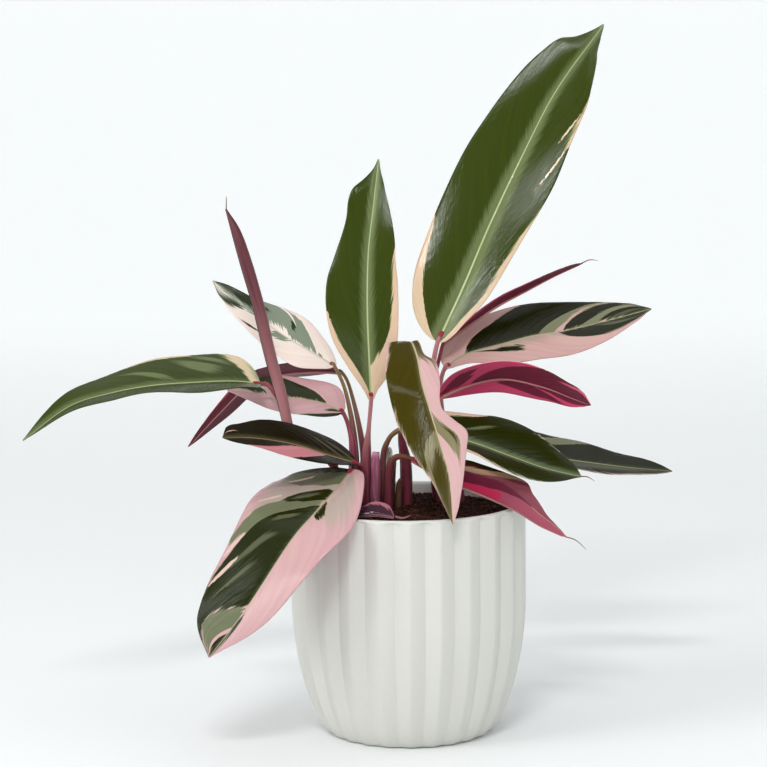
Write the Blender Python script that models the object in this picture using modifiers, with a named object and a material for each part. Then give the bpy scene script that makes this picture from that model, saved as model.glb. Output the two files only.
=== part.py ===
"""Potted stromanthe: a clump of variegated prayer-plant leaves in a white fluted pot.

Metres, +Z up. The origin is the middle of the pot's underside. The front, which shows
the drooping leaf over the rim, faces -Y. Positions in the tables are in millimetres.
"""

import math

import bmesh
import bpy
from mathutils import Vector

MM = 0.001
GAP = 0.3  # clearance between touching pieces
JOIN = 1.0  # how far short of its blade's first edge a stalk's end stops

# Pot
POT_HEIGHT = 163.0
POT_RADIUS = 82.5
FOOT_RADIUS = 55.5
BELLY_HEIGHT = 90.0  # the wall is upright above this height
BELLY_POWER = 1.7  # 2 would be an ellipse, 1 a straight cone
WALL = 6.0
FLOOR = 6.0
FLUTES = 24
FLUTE_DEPTH = 3.6
FLUTE_STEPS = 4  # columns of faces across one flute
FLUTE_AT_FOOT = 0.5  # share of their depth that the flutes still have at the foot
LIP = 3.0  # plain band at the rim where the flutes run out
BELLY_RINGS = 6
SHARP_EDGE = 35.0  # degrees from which an edge stays sharp
WELD = 0.00001  # metres

# Soil
SOIL_EDGE = 154.0  # height where it meets the wall
SOIL_TOP = 157.0
SOIL_FLAT = 62.0  # radius of its level middle
SOIL_STEPS = 48

# Leaves
BLADE_THICKNESS = 0.8
BLADE_ROWS = 12
BLADE_COLUMNS = 6
HEADING_STEP = 0.02  # share of the midrib over which its direction is taken
STATIONS = (0.0, 0.05, 0.2, 0.4, 0.6, 0.8, 0.93, 1.0)  # shares of the midrib where widths are given
BASE_WIDTH = 0.9  # half width where the blade joins its stalk
TIP_WIDTH = 0.4
ROLLED_POINTS = 13  # points along the rolled leaf
SHEATH_POINTS = 6

# Each blade: its midrib from base to tip, the half widths left and right of it at the
# inner stations, the way its upper side faces at base, middle and tip, the angle in
# degrees that the halves rise from flat, and how much they turn further towards the edge.
BLADES = {
    "leaf_tall": {
        "midrib": (
            (22, 12, 273), (40, 26, 309), (61, 40, 355),
            (84, 52, 401), (109, 60, 447), (143, 66, 493),
        ),
        "left": (24, 37, 38, 35, 25, 10),
        "right": (9, 21, 28, 29, 22, 7),
        "face": ((-0.1, -1.0, 0.2), (-0.1, -1.0, 0.2), (-0.1, -1.0, 0.3)),
        "fold": 10,
        "bend": -14,
    },
    "leaf_middle": {
        "midrib": (
            (-25, 8, 233), (-26, 9, 260), (-27, 15, 296),
            (-26, 24, 334), (-22, 34, 368), (-18, 44, 400),
        ),
        "left": (8, 20, 30, 24, 15, 7),
        "right": (7, 17, 21, 20, 12, 5),
        "face": ((0.0, -1.0, 0.1), (0.0, -1.0, 0.1), (0.0, -1.0, 0.2)),
        "fold": 14,
        "bend": -16,
    },
    "leaf_pale": {
        "midrib": (
            (-51, 45, 253), (-66, 55, 261), (-83, 65, 270),
            (-99, 74, 280), (-118, 82, 294), (-140, 90, 311),
        ),
        "left": (9, 19, 17, 17, 11, 5),
        "right": (6, 13, 21, 19, 10, 5),
        "face": ((0.1, -0.7, 0.7), (0.1, -0.7, 0.7), (0.1, -0.7, 0.7)),
        "fold": 10,
        "bend": -12,
    },
    "leaf_far_left": {
        "midrib": (
            (-103, 22, 244), (-124, 12, 247), (-151, -2, 248), (-177, -16, 248),
            (-203, -30, 245), (-230, -44, 238), (-260, -58, 217),
        ),
        "left": (14, 22, 24, 18, 13, 7),
        "right": (16, 28, 26, 20, 12, 6),
        "face": ((0.0, -0.4, 0.9), (0.0, -0.4, 0.9), (-0.3, -0.4, 0.8)),
        "fold": 22,
        "bend": -16,
    },
    "leaf_pink_left": {
        "midrib": ((-45, 22, 223), (-61, 28, 229), (-83, 35, 232), (-105, 44, 234), (-129, 56, 235)),
        "left": (9, 18, 20, 17, 10, 4),
        "right": (9, 18, 20, 19, 15, 8),
        "face": ((0.0, -0.55, 0.83), (0.0, -0.55, 0.83), (0.0, -0.55, 0.83)),
        "fold": 14,
        "bend": -12,
    },
    "leaf_maroon": {
        "midrib": (
            (-46, 52, 248), (-66, 66, 247), (-92, 80, 243),
            (-113, 92, 236), (-136, 102, 214), (-162, 108, 186),
        ),
        "left": (6, 11, 12, 8, 6, 3),
        "right": (7, 12, 14, 13, 11, 5),
        "face": ((0.0, 0.5, 0.85), (-0.1, 0.6, 0.8), (-0.5, 0.8, 0.3)),
        "fold": 12,
        "bend": 0,
    },
    "leaf_dark": {
        "midrib": (
            (-35, -8, 191), (-54, -22, 199), (-74, -35, 208),
            (-94, -46, 214), (-110, -54, 217), (-125, -60, 218),
        ),
        "left": (5, 14, 20, 19, 12, 6),
        "right": (6, 16, 20, 17, 11, 7),
        "face": ((0.0, -0.5, 0.85), (0.0, -0.5, 0.85), (0.0, -0.5, 0.85)),
        "fold": 14,
        "bend": -14,
    },
    "leaf_big": {
        "midrib": (
            (-39, -16, 188), (-49, -42, 179), (-63, -64, 167),
            (-80, -82, 150), (-108, -98, 110), (-134, -104, 77),
        ),
        "left": (11, 24, 34, 30, 20, 10),
        "right": (31, 50, 48, 43, 33, 20),
        "face": ((-0.2, -0.4, 0.9), (-0.3, -0.7, 0.7), (-0.3, -0.9, 0.4)),
        "fold": 8,
        "bend": -12,
    },
    "leaf_drooping": {
        "midrib": (
            (2, -6, 268), (3, -18, 277), (7, -34, 268), (10, -46, 251),
            (15, -54, 234), (21, -64, 214), (27, -76, 192), (29, -92, 163),
        ),
        "left": (4, 10, 9, 21, 12, 6),
        "right": (8, 19, 23, 20, 14, 6),
        "face": ((0.0, 0.3, 0.95), (-0.1, -0.9, 0.3), (-0.1, -0.95, 0.2)),
        "fold": 10,
        "bend": -12,
    },
    "leaf_right_upper": {
        "midrib": (
            (27, 20, 254), (43, 26, 263), (68, 32, 269), (90, 38, 274),
            (114, 43, 277), (143, 48, 283), (176, 52, 291),
        ),
        "left": (12, 23, 30, 26, 18, 10),
        "right": (5, 12, 23, 25, 19, 9),
        "face": ((0.0, -0.65, 0.75), (0.0, -0.65, 0.75), (0.0, -0.65, 0.75)),
        "fold": 10,
        "bend": -12,
    },
    "leaf_magenta": {
        "midrib": (
            (22, 10, 234), (44, 4, 244), (68, -4, 249),
            (95, -14, 244), (112, -22, 238), (126, -28, 233),
        ),
        "left": (4, 10, 14, 14, 9, 4),
        "right": (9, 20, 22, 22, 18, 10),
        "face": ((0.0, 0.75, 0.65), (0.0, 0.75, 0.65), (0.0, 0.75, 0.65)),
        "fold": -8,
        "bend": 0,
    },
    "leaf_thin": {
        "midrib": (
            (26, 22, 272), (45, 28, 284), (65, 36, 296),
            (85, 46, 305), (107, 56, 315), (128, 66, 323),
        ),
        "left": (3, 6, 8, 7, 5, 3),
        "right": (3, 6, 8, 7, 5, 3),
        "face": ((-0.4, 0.5, 0.75), (-0.4, 0.5, 0.75), (-0.4, 0.5, 0.75)),
        "fold": 16,
        "bend": 0,
    },
    "leaf_right_lower": {
        "midrib": (
            (-2, -2, 214), (16, -6, 213), (43, -14, 209),
            (71, -24, 199), (94, -34, 191), (118, -44, 186),
        ),
        "left": (13, 22, 28, 25, 20, 11),
        "right": (7, 14, 15, 18, 15, 8),
        "face": ((0.1, -0.55, 0.83), (0.1, -0.55, 0.83), (0.1, -0.55, 0.83)),
        "fold": 15,
        "bend": -14,
    },
    "leaf_far_right": {
        "midrib": (
            (45, 34, 201), (81, 44, 192), (114, 52, 183),
            (140, 58, 178), (166, 62, 174), (193, 64, 171),
        ),
        "left": (10, 22, 23, 17, 13, 6),
        "right": (7, 16, 15, 13, 11, 5),
        "face": ((0.1, -0.45, 0.9), (0.1, -0.45, 0.9), (0.1, -0.45, 0.9)),
        "fold": 12,
        "bend": -10,
    },
    "leaf_folded": {
        "midrib": (
            (4, -8, 194), (29, -24, 181), (55, -40, 172),
            (73, -52, 165), (89, -62, 156), (106, -70, 149),
        ),
        "left": (8, 18, 22, 20, 12, 5),
        "right": (6, 13, 16, 14, 9, 4),
        "face": ((0.2, 0.1, 0.95), (0.3, 0.1, 0.9), (0.4, 0.0, 0.9)),
        "fold": 50,
        "bend": 10,
    },
    "leaf_back": {
        "midrib": ((-17, 38, 170), (-16, 40, 178), (-14, 42, 187), (-12, 43, 194)),
        "left": (3, 5, 6, 5, 3, 2),
        "right": (3, 5, 6, 5, 3, 2),
        "face": ((0.2, -0.9, 0.4), (0.2, -0.9, 0.4), (0.2, -0.9, 0.4)),
        "fold": 15,
        "bend": 0,
    },
    "leaf_fallen": {
        "midrib": ((-10, -43, 158.9), (-19, -41, 160.3), (-28, -41, 160.3), (-38, -42, 158.7)),
        "left": (1.5, 2, 2, 2, 1.5, 1),
        "right": (3, 8, 10, 9, 6, 3),
        "face": ((0.0, -0.7, 0.7), (0.0, -0.7, 0.7), (0.0, -0.7, 0.7)),
        "fold": 8,
        "bend": 0,
    },
}

# Each stalk: its route up from the soil, and its radius at each point of the route and
# where it ends, at the base of the blade of the same name.
STALKS = {
    "tall": {
        "route": ((24, 25, SOIL_TOP), (20, 22, 195), (17, 18, 235), (19, 13, 258)),
        "radii": (3.0, 2.4, 1.8, 1.8, 1.6),
    },
    "middle": {
        "route": ((-29, 10, SOIL_TOP), (-29, 10, 192), (-27, 9, 212)),
        "radii": (3.9, 3.4, 1.6, 1.5),
    },
    "rolled": {
        "route": ((-47, 4, SOIL_TOP), (-50, 2, 182), (-60, -2, 197), (-75, -7, 204), (-82, -8, 211)),
        "radii": (2.4, 2.2, 1.8, 1.8, 1.8, 1.8),
    },
    "pale": {
        "route": ((-36, 20, SOIL_TOP), (-37, 24, 200), (-43, 38, 234)),
        "radii": (2.6, 2.0, 1.4, 1.3),
    },
    "maroon": {
        "route": ((-29, 24, SOIL_TOP), (-32, 28, 200), (-40, 43, 236)),
        "radii": (2.4, 1.9, 1.3, 1.3),
    },
    "far_left": {
        "route": (
            (-47, 16, SOIL_TOP), (-52, 15, 188), (-66, 10, 206),
            (-81, 6, 215), (-86, 8, 227), (-97, 21, 242),
        ),
        "radii": (2.2, 2.0, 1.8, 1.6, 1.5, 1.5, 1.4),
    },
    "pink_left": {
        "route": ((-40, 8, SOIL_TOP), (-38, 14, 195), (-41, 20, 212)),
        "radii": (3.0, 2.6, 1.6, 1.5),
    },
    "dark": {
        "route": ((-32, -1, SOIL_TOP), (-31, -2, 184)),
        "radii": (2.2, 1.8, 1.5),
    },
    "big": {
        "route": ((-40, -2, SOIL_TOP), (-39, -6, 184)),
        "radii": (2.2, 1.9, 1.5),
    },
    "drooping": {
        "route": ((-1, 14, SOIL_TOP), (-1, 13, 186), (-4, 8, 210), (0, 2, 248)),
        "radii": (4.0, 3.6, 2.2, 1.8, 1.5),
    },
    "right_upper": {
        "route": ((31, 25, SOIL_TOP), (27, 26, 200), (24, 23, 238)),
        "radii": (2.6, 2.0, 1.6, 1.5),
    },
    "magenta": {
        "route": ((29, 15, SOIL_TOP), (25, 16, 205), (22, 14, 226)),
        "radii": (2.4, 1.9, 1.5, 1.4),
    },
    "thin": {
        "route": ((21, 34, SOIL_TOP), (17, 33, 200), (17, 27, 235), (22, 23, 255)),
        "radii": (2.4, 1.9, 1.5, 1.4, 1.3),
    },
    "right_lower": {
        "route": ((-17, 13, SOIL_TOP), (-17, 12, 190), (-13, 6, 205), (-7, 0, 212)),
        "radii": (2.2, 2.0, 1.7, 1.8, 1.6),
    },
    "far_right": {
        "route": ((38, 26, SOIL_TOP), (38, 29, 187), (41, 33, 198)),
        "radii": (2.4, 2.0, 1.6, 1.5),
    },
    "folded": {
        "route": ((-14, 2, SOIL_TOP), (-13, 0, 182), (-8, -4, 194)),
        "radii": (3.2, 2.4, 2.2, 1.6),
    },
    "back": {
        "route": ((-18, 34, SOIL_TOP),),
        "radii": (1.6, 1.2),
    },
}

# Leftovers at the foot of the clump: a torn sheath and two dried ones, on the soil
SHEATHS = {
    "sheath_torn": {
        "route": ((-23, 2, SOIL_TOP), (-23, 2, 180), (-22, 3, 199)),
        "radii": (3.4, 3.2, 2.4),
    },
    "sheath_dried_left": {
        "route": ((-12, 11, SOIL_TOP), (-11, 11, 175), (-9, 12, 190)),
        "radii": (2.6, 2.2, 1.4),
    },
    "sheath_dried_right": {
        "route": ((-7, 4, SOIL_TOP), (-6, 3, 172), (-5, 1, 180)),
        "radii": (2.4, 2.0, 1.2),
    },
}

ROLLED = {
    "route": (
        (-83, -6, 218), (-87, -4, 237), (-93, 0, 258), (-99, 4, 284),
        (-104, 8, 304), (-111, 12, 329), (-118, 16, 351), (-125, 20, 367),
    ),
    "radii": (3.6, 4.0, 4.2, 4.3, 4.3, 4.4, 3.4, 0.6),
}
FALLEN_STALK = {
    "route": ((-9, -43.5, 159.2), (-4, -45, 158.4), (1, -47, 160.5)),
    "radii": (0.9, 0.8, 0.6),
}

# Colours as red, green, blue from 0 to 1
WHITE_GLAZE = (0.84, 0.84, 0.82)
DARK_SOIL = (0.03, 0.012, 0.008)
LEAF_GREEN = (0.05, 0.09, 0.01)
LEAF_PINK = (0.75, 0.42, 0.42)
LEAF_MAGENTA = (0.36, 0.04, 0.09)
STALK_MAROON = (0.25, 0.06, 0.08)
DRY_BROWN = (0.20, 0.11, 0.06)


def material(name, colour, roughness):
    """A plain Principled material."""
    made = bpy.data.materials.new(name)
    made.use_nodes = True
    shader = made.node_tree.nodes["Principled BSDF"]
    shader.inputs["Base Color"].default_value = (*colour, 1.0)
    shader.inputs["Roughness"].default_value = roughness
    return made


def add(name, data, collection, finish):
    """Links a new object with its own material."""
    made = bpy.data.objects.new(name, data)
    collection.objects.link(made)
    data.materials.append(finish)
    return made


def through(points, share):
    """The point at this share of the smooth curve through the points."""
    spans = len(points) - 1
    place = min(max(share, 0.0), 1.0) * spans
    first = min(int(place), spans - 1)
    t = place - first
    p1 = Vector(points[first])
    p2 = Vector(points[first + 1])
    p0 = Vector(points[first - 1]) if first > 0 else p1 * 2 - p2
    p3 = Vector(points[first + 2]) if first + 2 <= spans else p2 * 2 - p1
    square = (p0 * 2 - p1 * 5 + p2 * 4 - p3) * t**2
    cube = (p1 * 3 - p0 - p2 * 3 + p3) * t**3
    return (p1 * 2 + (p2 - p0) * t + square + cube) / 2


def half_width(widths, share):
    """A half width between the stations, eased by a cubic through its neighbours."""
    values = (BASE_WIDTH, *widths, TIP_WIDTH)
    k = max(i for i in range(len(STATIONS) - 1) if i == 0 or STATIONS[i] < share)
    span = STATIONS[k + 1] - STATIONS[k]
    t = (share - STATIONS[k]) / span

    def slope(i):
        low, high = max(i - 1, 0), min(i + 1, len(values) - 1)
        return (values[high] - values[low]) / (STATIONS[high] - STATIONS[low]) * span

    a, b = values[k], values[k + 1]
    sa, sb = slope(k), slope(k + 1)
    return a + sa * t + (3 * (b - a) - 2 * sa - sb) * t**2 + (2 * (a - b) + sa + sb) * t**3


def facing(faces, share):
    """The upper side's direction at this share, between those given for base, middle and tip."""
    base, middle, tip = (Vector(face) for face in faces)
    if share < 0.5:
        return base.lerp(middle, share * 2)
    return middle.lerp(tip, share * 2 - 1)


def blade_point(blade, across, along):
    """A point of the blade, in millimetres: across runs from -1 at its left edge to 1."""
    centre = through(blade["midrib"], along)
    after = through(blade["midrib"], along + HEADING_STEP)
    ahead = (after - through(blade["midrib"], along - HEADING_STEP)).normalized()
    up = facing(blade["face"], along)
    up = (up - ahead * up.dot(ahead)).normalized()
    right = ahead.cross(up)
    side = 1.0 if across > 0 else -1.0
    reach = abs(across) * half_width(blade["right" if across > 0 else "left"], along)
    start = math.radians(blade["fold"])
    mean = start + math.radians(blade["bend"]) * abs(across) / 2
    return centre + right * (side * reach * math.cos(mean)) + up * (reach * math.sin(mean))


def make_blade(name, blade, collection, finish):
    """A leaf blade: a grid laid on its surface, given its thickness."""
    mesh = bpy.data.meshes.new(name)
    shape = bmesh.new()
    bmesh.ops.create_grid(shape, x_segments=BLADE_COLUMNS, y_segments=BLADE_ROWS, size=1.0)
    for vertex in shape.verts:
        across, along = vertex.co.x, (vertex.co.y + 1) / 2
        vertex.co = blade_point(blade, across, along) * MM
    shape.to_mesh(mesh)
    shape.free()
    mesh.shade_smooth()
    made = add(name, mesh, collection, finish)
    skin = made.modifiers.new("thickness", "SOLIDIFY")
    skin.thickness = BLADE_THICKNESS * MM
    skin.offset = 0.0
    return made


def make_tube(name, route, radii, points, collection, finish):
    """A stalk or a sheath: a tapered tube along a smooth curve through its route."""
    curve = bpy.data.curves.new(name, "CURVE")
    curve.dimensions = "3D"
    curve.bevel_depth = MM
    curve.bevel_resolution = 2
    curve.use_fill_caps = True
    curve.resolution_u = 1
    curve.render_resolution_u = 0
    line = curve.splines.new("POLY")
    line.points.add(points - 1)
    rings = [(radius, 0.0, 0.0) for radius in radii]
    for k, point in enumerate(line.points):
        share = k / (points - 1)
        point.co = (*(through(route, share) * MM), 1.0)
        point.radius = through(rings, share).x
    return add(name, curve, collection, finish)


def foot(route, radius, following):
    """The route with its first point raised until its end just clears the soil."""
    first = Vector(route[0])
    lean = Vector(following) - first
    tilt = math.hypot(lean.x, lean.y) / lean.length
    return (tuple(first + Vector((0, 0, GAP + radius * tilt))), *route[1:])


def make_stalk(name, stalk, blade_base, collection, finish):
    """A stalk from the soil to just short of its blade."""
    base = Vector(blade_base)
    route = foot(stalk["route"], stalk["radii"][0], (*stalk["route"], blade_base)[1])
    short = (base - Vector(route[-1])).normalized() * JOIN
    route = (*route, tuple(base - short))
    return make_tube(name, route, stalk["radii"], 2 * len(route) + 1, collection, finish)


def belly(height):
    """The pot's outer radius at this height, to the crests of its flutes."""
    if height >= BELLY_HEIGHT:
        return POT_RADIUS
    drop = (BELLY_HEIGHT - height) / BELLY_HEIGHT
    return FOOT_RADIUS + (POT_RADIUS - FOOT_RADIUS) * (1 - drop**BELLY_POWER) ** (1 / BELLY_POWER)


def belly_heights(lowest):
    """Heights from the upright wall down to the lowest, closer together near the foot."""
    drop = BELLY_HEIGHT - lowest
    return [lowest + drop * (1 - math.sin(math.pi / 2 * k / BELLY_RINGS)) for k in range(BELLY_RINGS + 1)]


def turned(name, profile, steps, collection, finish):
    """A turned solid from a profile of (radius, height) in millimetres, made a mesh."""
    mesh = bpy.data.meshes.new(name + "_profile")
    line = bmesh.new()
    points = [line.verts.new((radius * MM, 0.0, height * MM)) for radius, height in profile]
    for a, b in zip(points, points[1:]):
        line.edges.new((a, b))
    line.to_mesh(mesh)
    line.free()
    lathe = bpy.data.objects.new(name + "_profile", mesh)
    collection.objects.link(lathe)
    screw = lathe.modifiers.new("turn", "SCREW")
    screw.steps = steps
    screw.render_steps = steps
    screw.use_merge_vertices = True
    screw.merge_threshold = WELD
    evaluated = lathe.evaluated_get(bpy.context.evaluated_depsgraph_get())
    solid = bpy.data.meshes.new_from_object(evaluated)
    bpy.data.objects.remove(lathe)
    solid.name = name
    return add(name, solid, collection, finish)


def make_pot(collection, finish):
    """The pot: turned, with 24 convex flutes pressed into the outer wall below its lip."""
    inner = [(belly(z) - WALL, z) for z in reversed(belly_heights(FLOOR))]
    outer = [(belly(z), z) for z in belly_heights(0.0)]
    profile = [
        (0.0, FLOOR),
        *inner,
        (POT_RADIUS - WALL, POT_HEIGHT),
        (POT_RADIUS, POT_HEIGHT),
        (POT_RADIUS, POT_HEIGHT - LIP),
        *outer,
        (0.0, 0.0),
    ]
    pot = turned("pot", profile, FLUTES * FLUTE_STEPS, collection, finish)
    for vertex in pot.data.vertices:
        radius = math.hypot(vertex.co.x, vertex.co.y)
        outside = radius > (belly(vertex.co.z / MM) - WALL / 2) * MM
        lip = vertex.co.z > (POT_HEIGHT - LIP / 2) * MM
        if outside and not lip:
            turn = math.atan2(vertex.co.y, vertex.co.x) * FLUTES / 2
            fade = min(1.0, FLUTE_AT_FOOT + vertex.co.z / MM / BELLY_HEIGHT)
            press = FLUTE_DEPTH * MM * (1 - abs(math.cos(turn))) * fade
            vertex.co.x *= 1 - press / radius
            vertex.co.y *= 1 - press / radius
    pot.data.shade_smooth()
    pot.data.set_sharp_from_angle(angle=math.radians(SHARP_EDGE))
    return pot


def make_soil(collection, finish):
    """The soil: one solid that fills the pot, a little higher in the middle."""
    low = FLOOR + GAP
    fill = [(belly(z) - WALL - 2 * GAP, z) for z in belly_heights(low)]
    edge = (POT_RADIUS - WALL - 2 * GAP, SOIL_EDGE)
    profile = [(0.0, SOIL_TOP), (SOIL_FLAT, SOIL_TOP), edge, *fill, (0.0, low)]
    soil = turned("soil", profile, SOIL_STEPS, collection, finish)
    soil.data.shade_smooth()
    soil.data.set_sharp_from_angle(angle=math.radians(SHARP_EDGE))
    return soil


def main():
    for thing in list(bpy.data.objects):
        bpy.data.objects.remove(thing)
    plant = bpy.data.collections.new("potted_stromanthe")
    bpy.context.scene.collection.children.link(plant)

    make_pot(plant, material("white glazed ceramic", WHITE_GLAZE, 0.45))
    make_soil(plant, material("potting soil", DARK_SOIL, 0.95))
    pink = {"leaf_pale", "leaf_pink_left"}
    magenta = {"leaf_maroon", "leaf_magenta", "leaf_thin", "leaf_fallen"}
    for name, blade in BLADES.items():
        colour = LEAF_PINK if name in pink else LEAF_MAGENTA if name in magenta else LEAF_GREEN
        make_blade(name, blade, plant, material(name, colour, 0.35))
    mauve = material("leaf_rolled", LEAF_MAGENTA, 0.4)
    make_tube("leaf_rolled", ROLLED["route"], ROLLED["radii"], ROLLED_POINTS, plant, mauve)
    for name, stalk in STALKS.items():
        base = ROLLED["route"][0] if name == "rolled" else BLADES["leaf_" + name]["midrib"][0]
        make_stalk("stalk_" + name, stalk, base, plant, material("stalk_" + name, STALK_MAROON, 0.4))
    for name, sheath in SHEATHS.items():
        finish = material(name, STALK_MAROON if name == "sheath_torn" else DRY_BROWN, 0.6)
        route = foot(sheath["route"], sheath["radii"][0], sheath["route"][1])
        make_tube(name, route, sheath["radii"], SHEATH_POINTS, plant, finish)
    stem = material("stalk_fallen", LEAF_PINK, 0.4)
    make_tube("stalk_fallen", FALLEN_STALK["route"], FALLEN_STALK["radii"], SHEATH_POINTS, plant, stem)


main()
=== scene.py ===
"""Potted stromanthe: a clump of variegated prayer-plant leaves in a white ribbed pot.

Every blade is a smooth surface along its midrib, patched with zones that are given by
lateral vein and by how far out from the midrib they reach. Lengths are in millimetres where
no comment says metres, and places are in the frame's own axes: +Z up, the front towards -Y.
"""

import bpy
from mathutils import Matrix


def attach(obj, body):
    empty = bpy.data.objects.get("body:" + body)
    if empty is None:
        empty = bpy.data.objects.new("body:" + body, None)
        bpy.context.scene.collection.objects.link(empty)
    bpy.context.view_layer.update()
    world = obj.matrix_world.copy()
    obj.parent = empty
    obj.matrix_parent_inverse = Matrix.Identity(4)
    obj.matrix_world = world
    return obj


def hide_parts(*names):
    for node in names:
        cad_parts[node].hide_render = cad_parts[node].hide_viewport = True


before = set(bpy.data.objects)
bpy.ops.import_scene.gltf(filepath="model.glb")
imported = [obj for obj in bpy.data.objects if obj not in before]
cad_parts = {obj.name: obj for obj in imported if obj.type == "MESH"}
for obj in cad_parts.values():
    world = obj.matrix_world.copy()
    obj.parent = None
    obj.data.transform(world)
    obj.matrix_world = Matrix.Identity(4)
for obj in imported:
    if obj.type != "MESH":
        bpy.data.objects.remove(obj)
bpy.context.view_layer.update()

import math
import random

import bmesh
import bpy
import numpy as np
from bpy.props import FloatProperty, FloatVectorProperty, IntProperty, PointerProperty, StringProperty
from mathutils import Matrix, Vector

bl_info = {
    "name": "Potted Stromanthe",
    "version": (1, 0, 0),
    "blender": (4, 5, 0),
    "location": "View3D > Sidebar > Stromanthe",
    "description": "Builds a potted stromanthe with variegated leaves in a ribbed glazed pot",
    "category": "Object",
}

MM = 0.001
BODY = "root"
PLANT = "Potted stromanthe"
SOIL_TOP = 157.0

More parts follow.
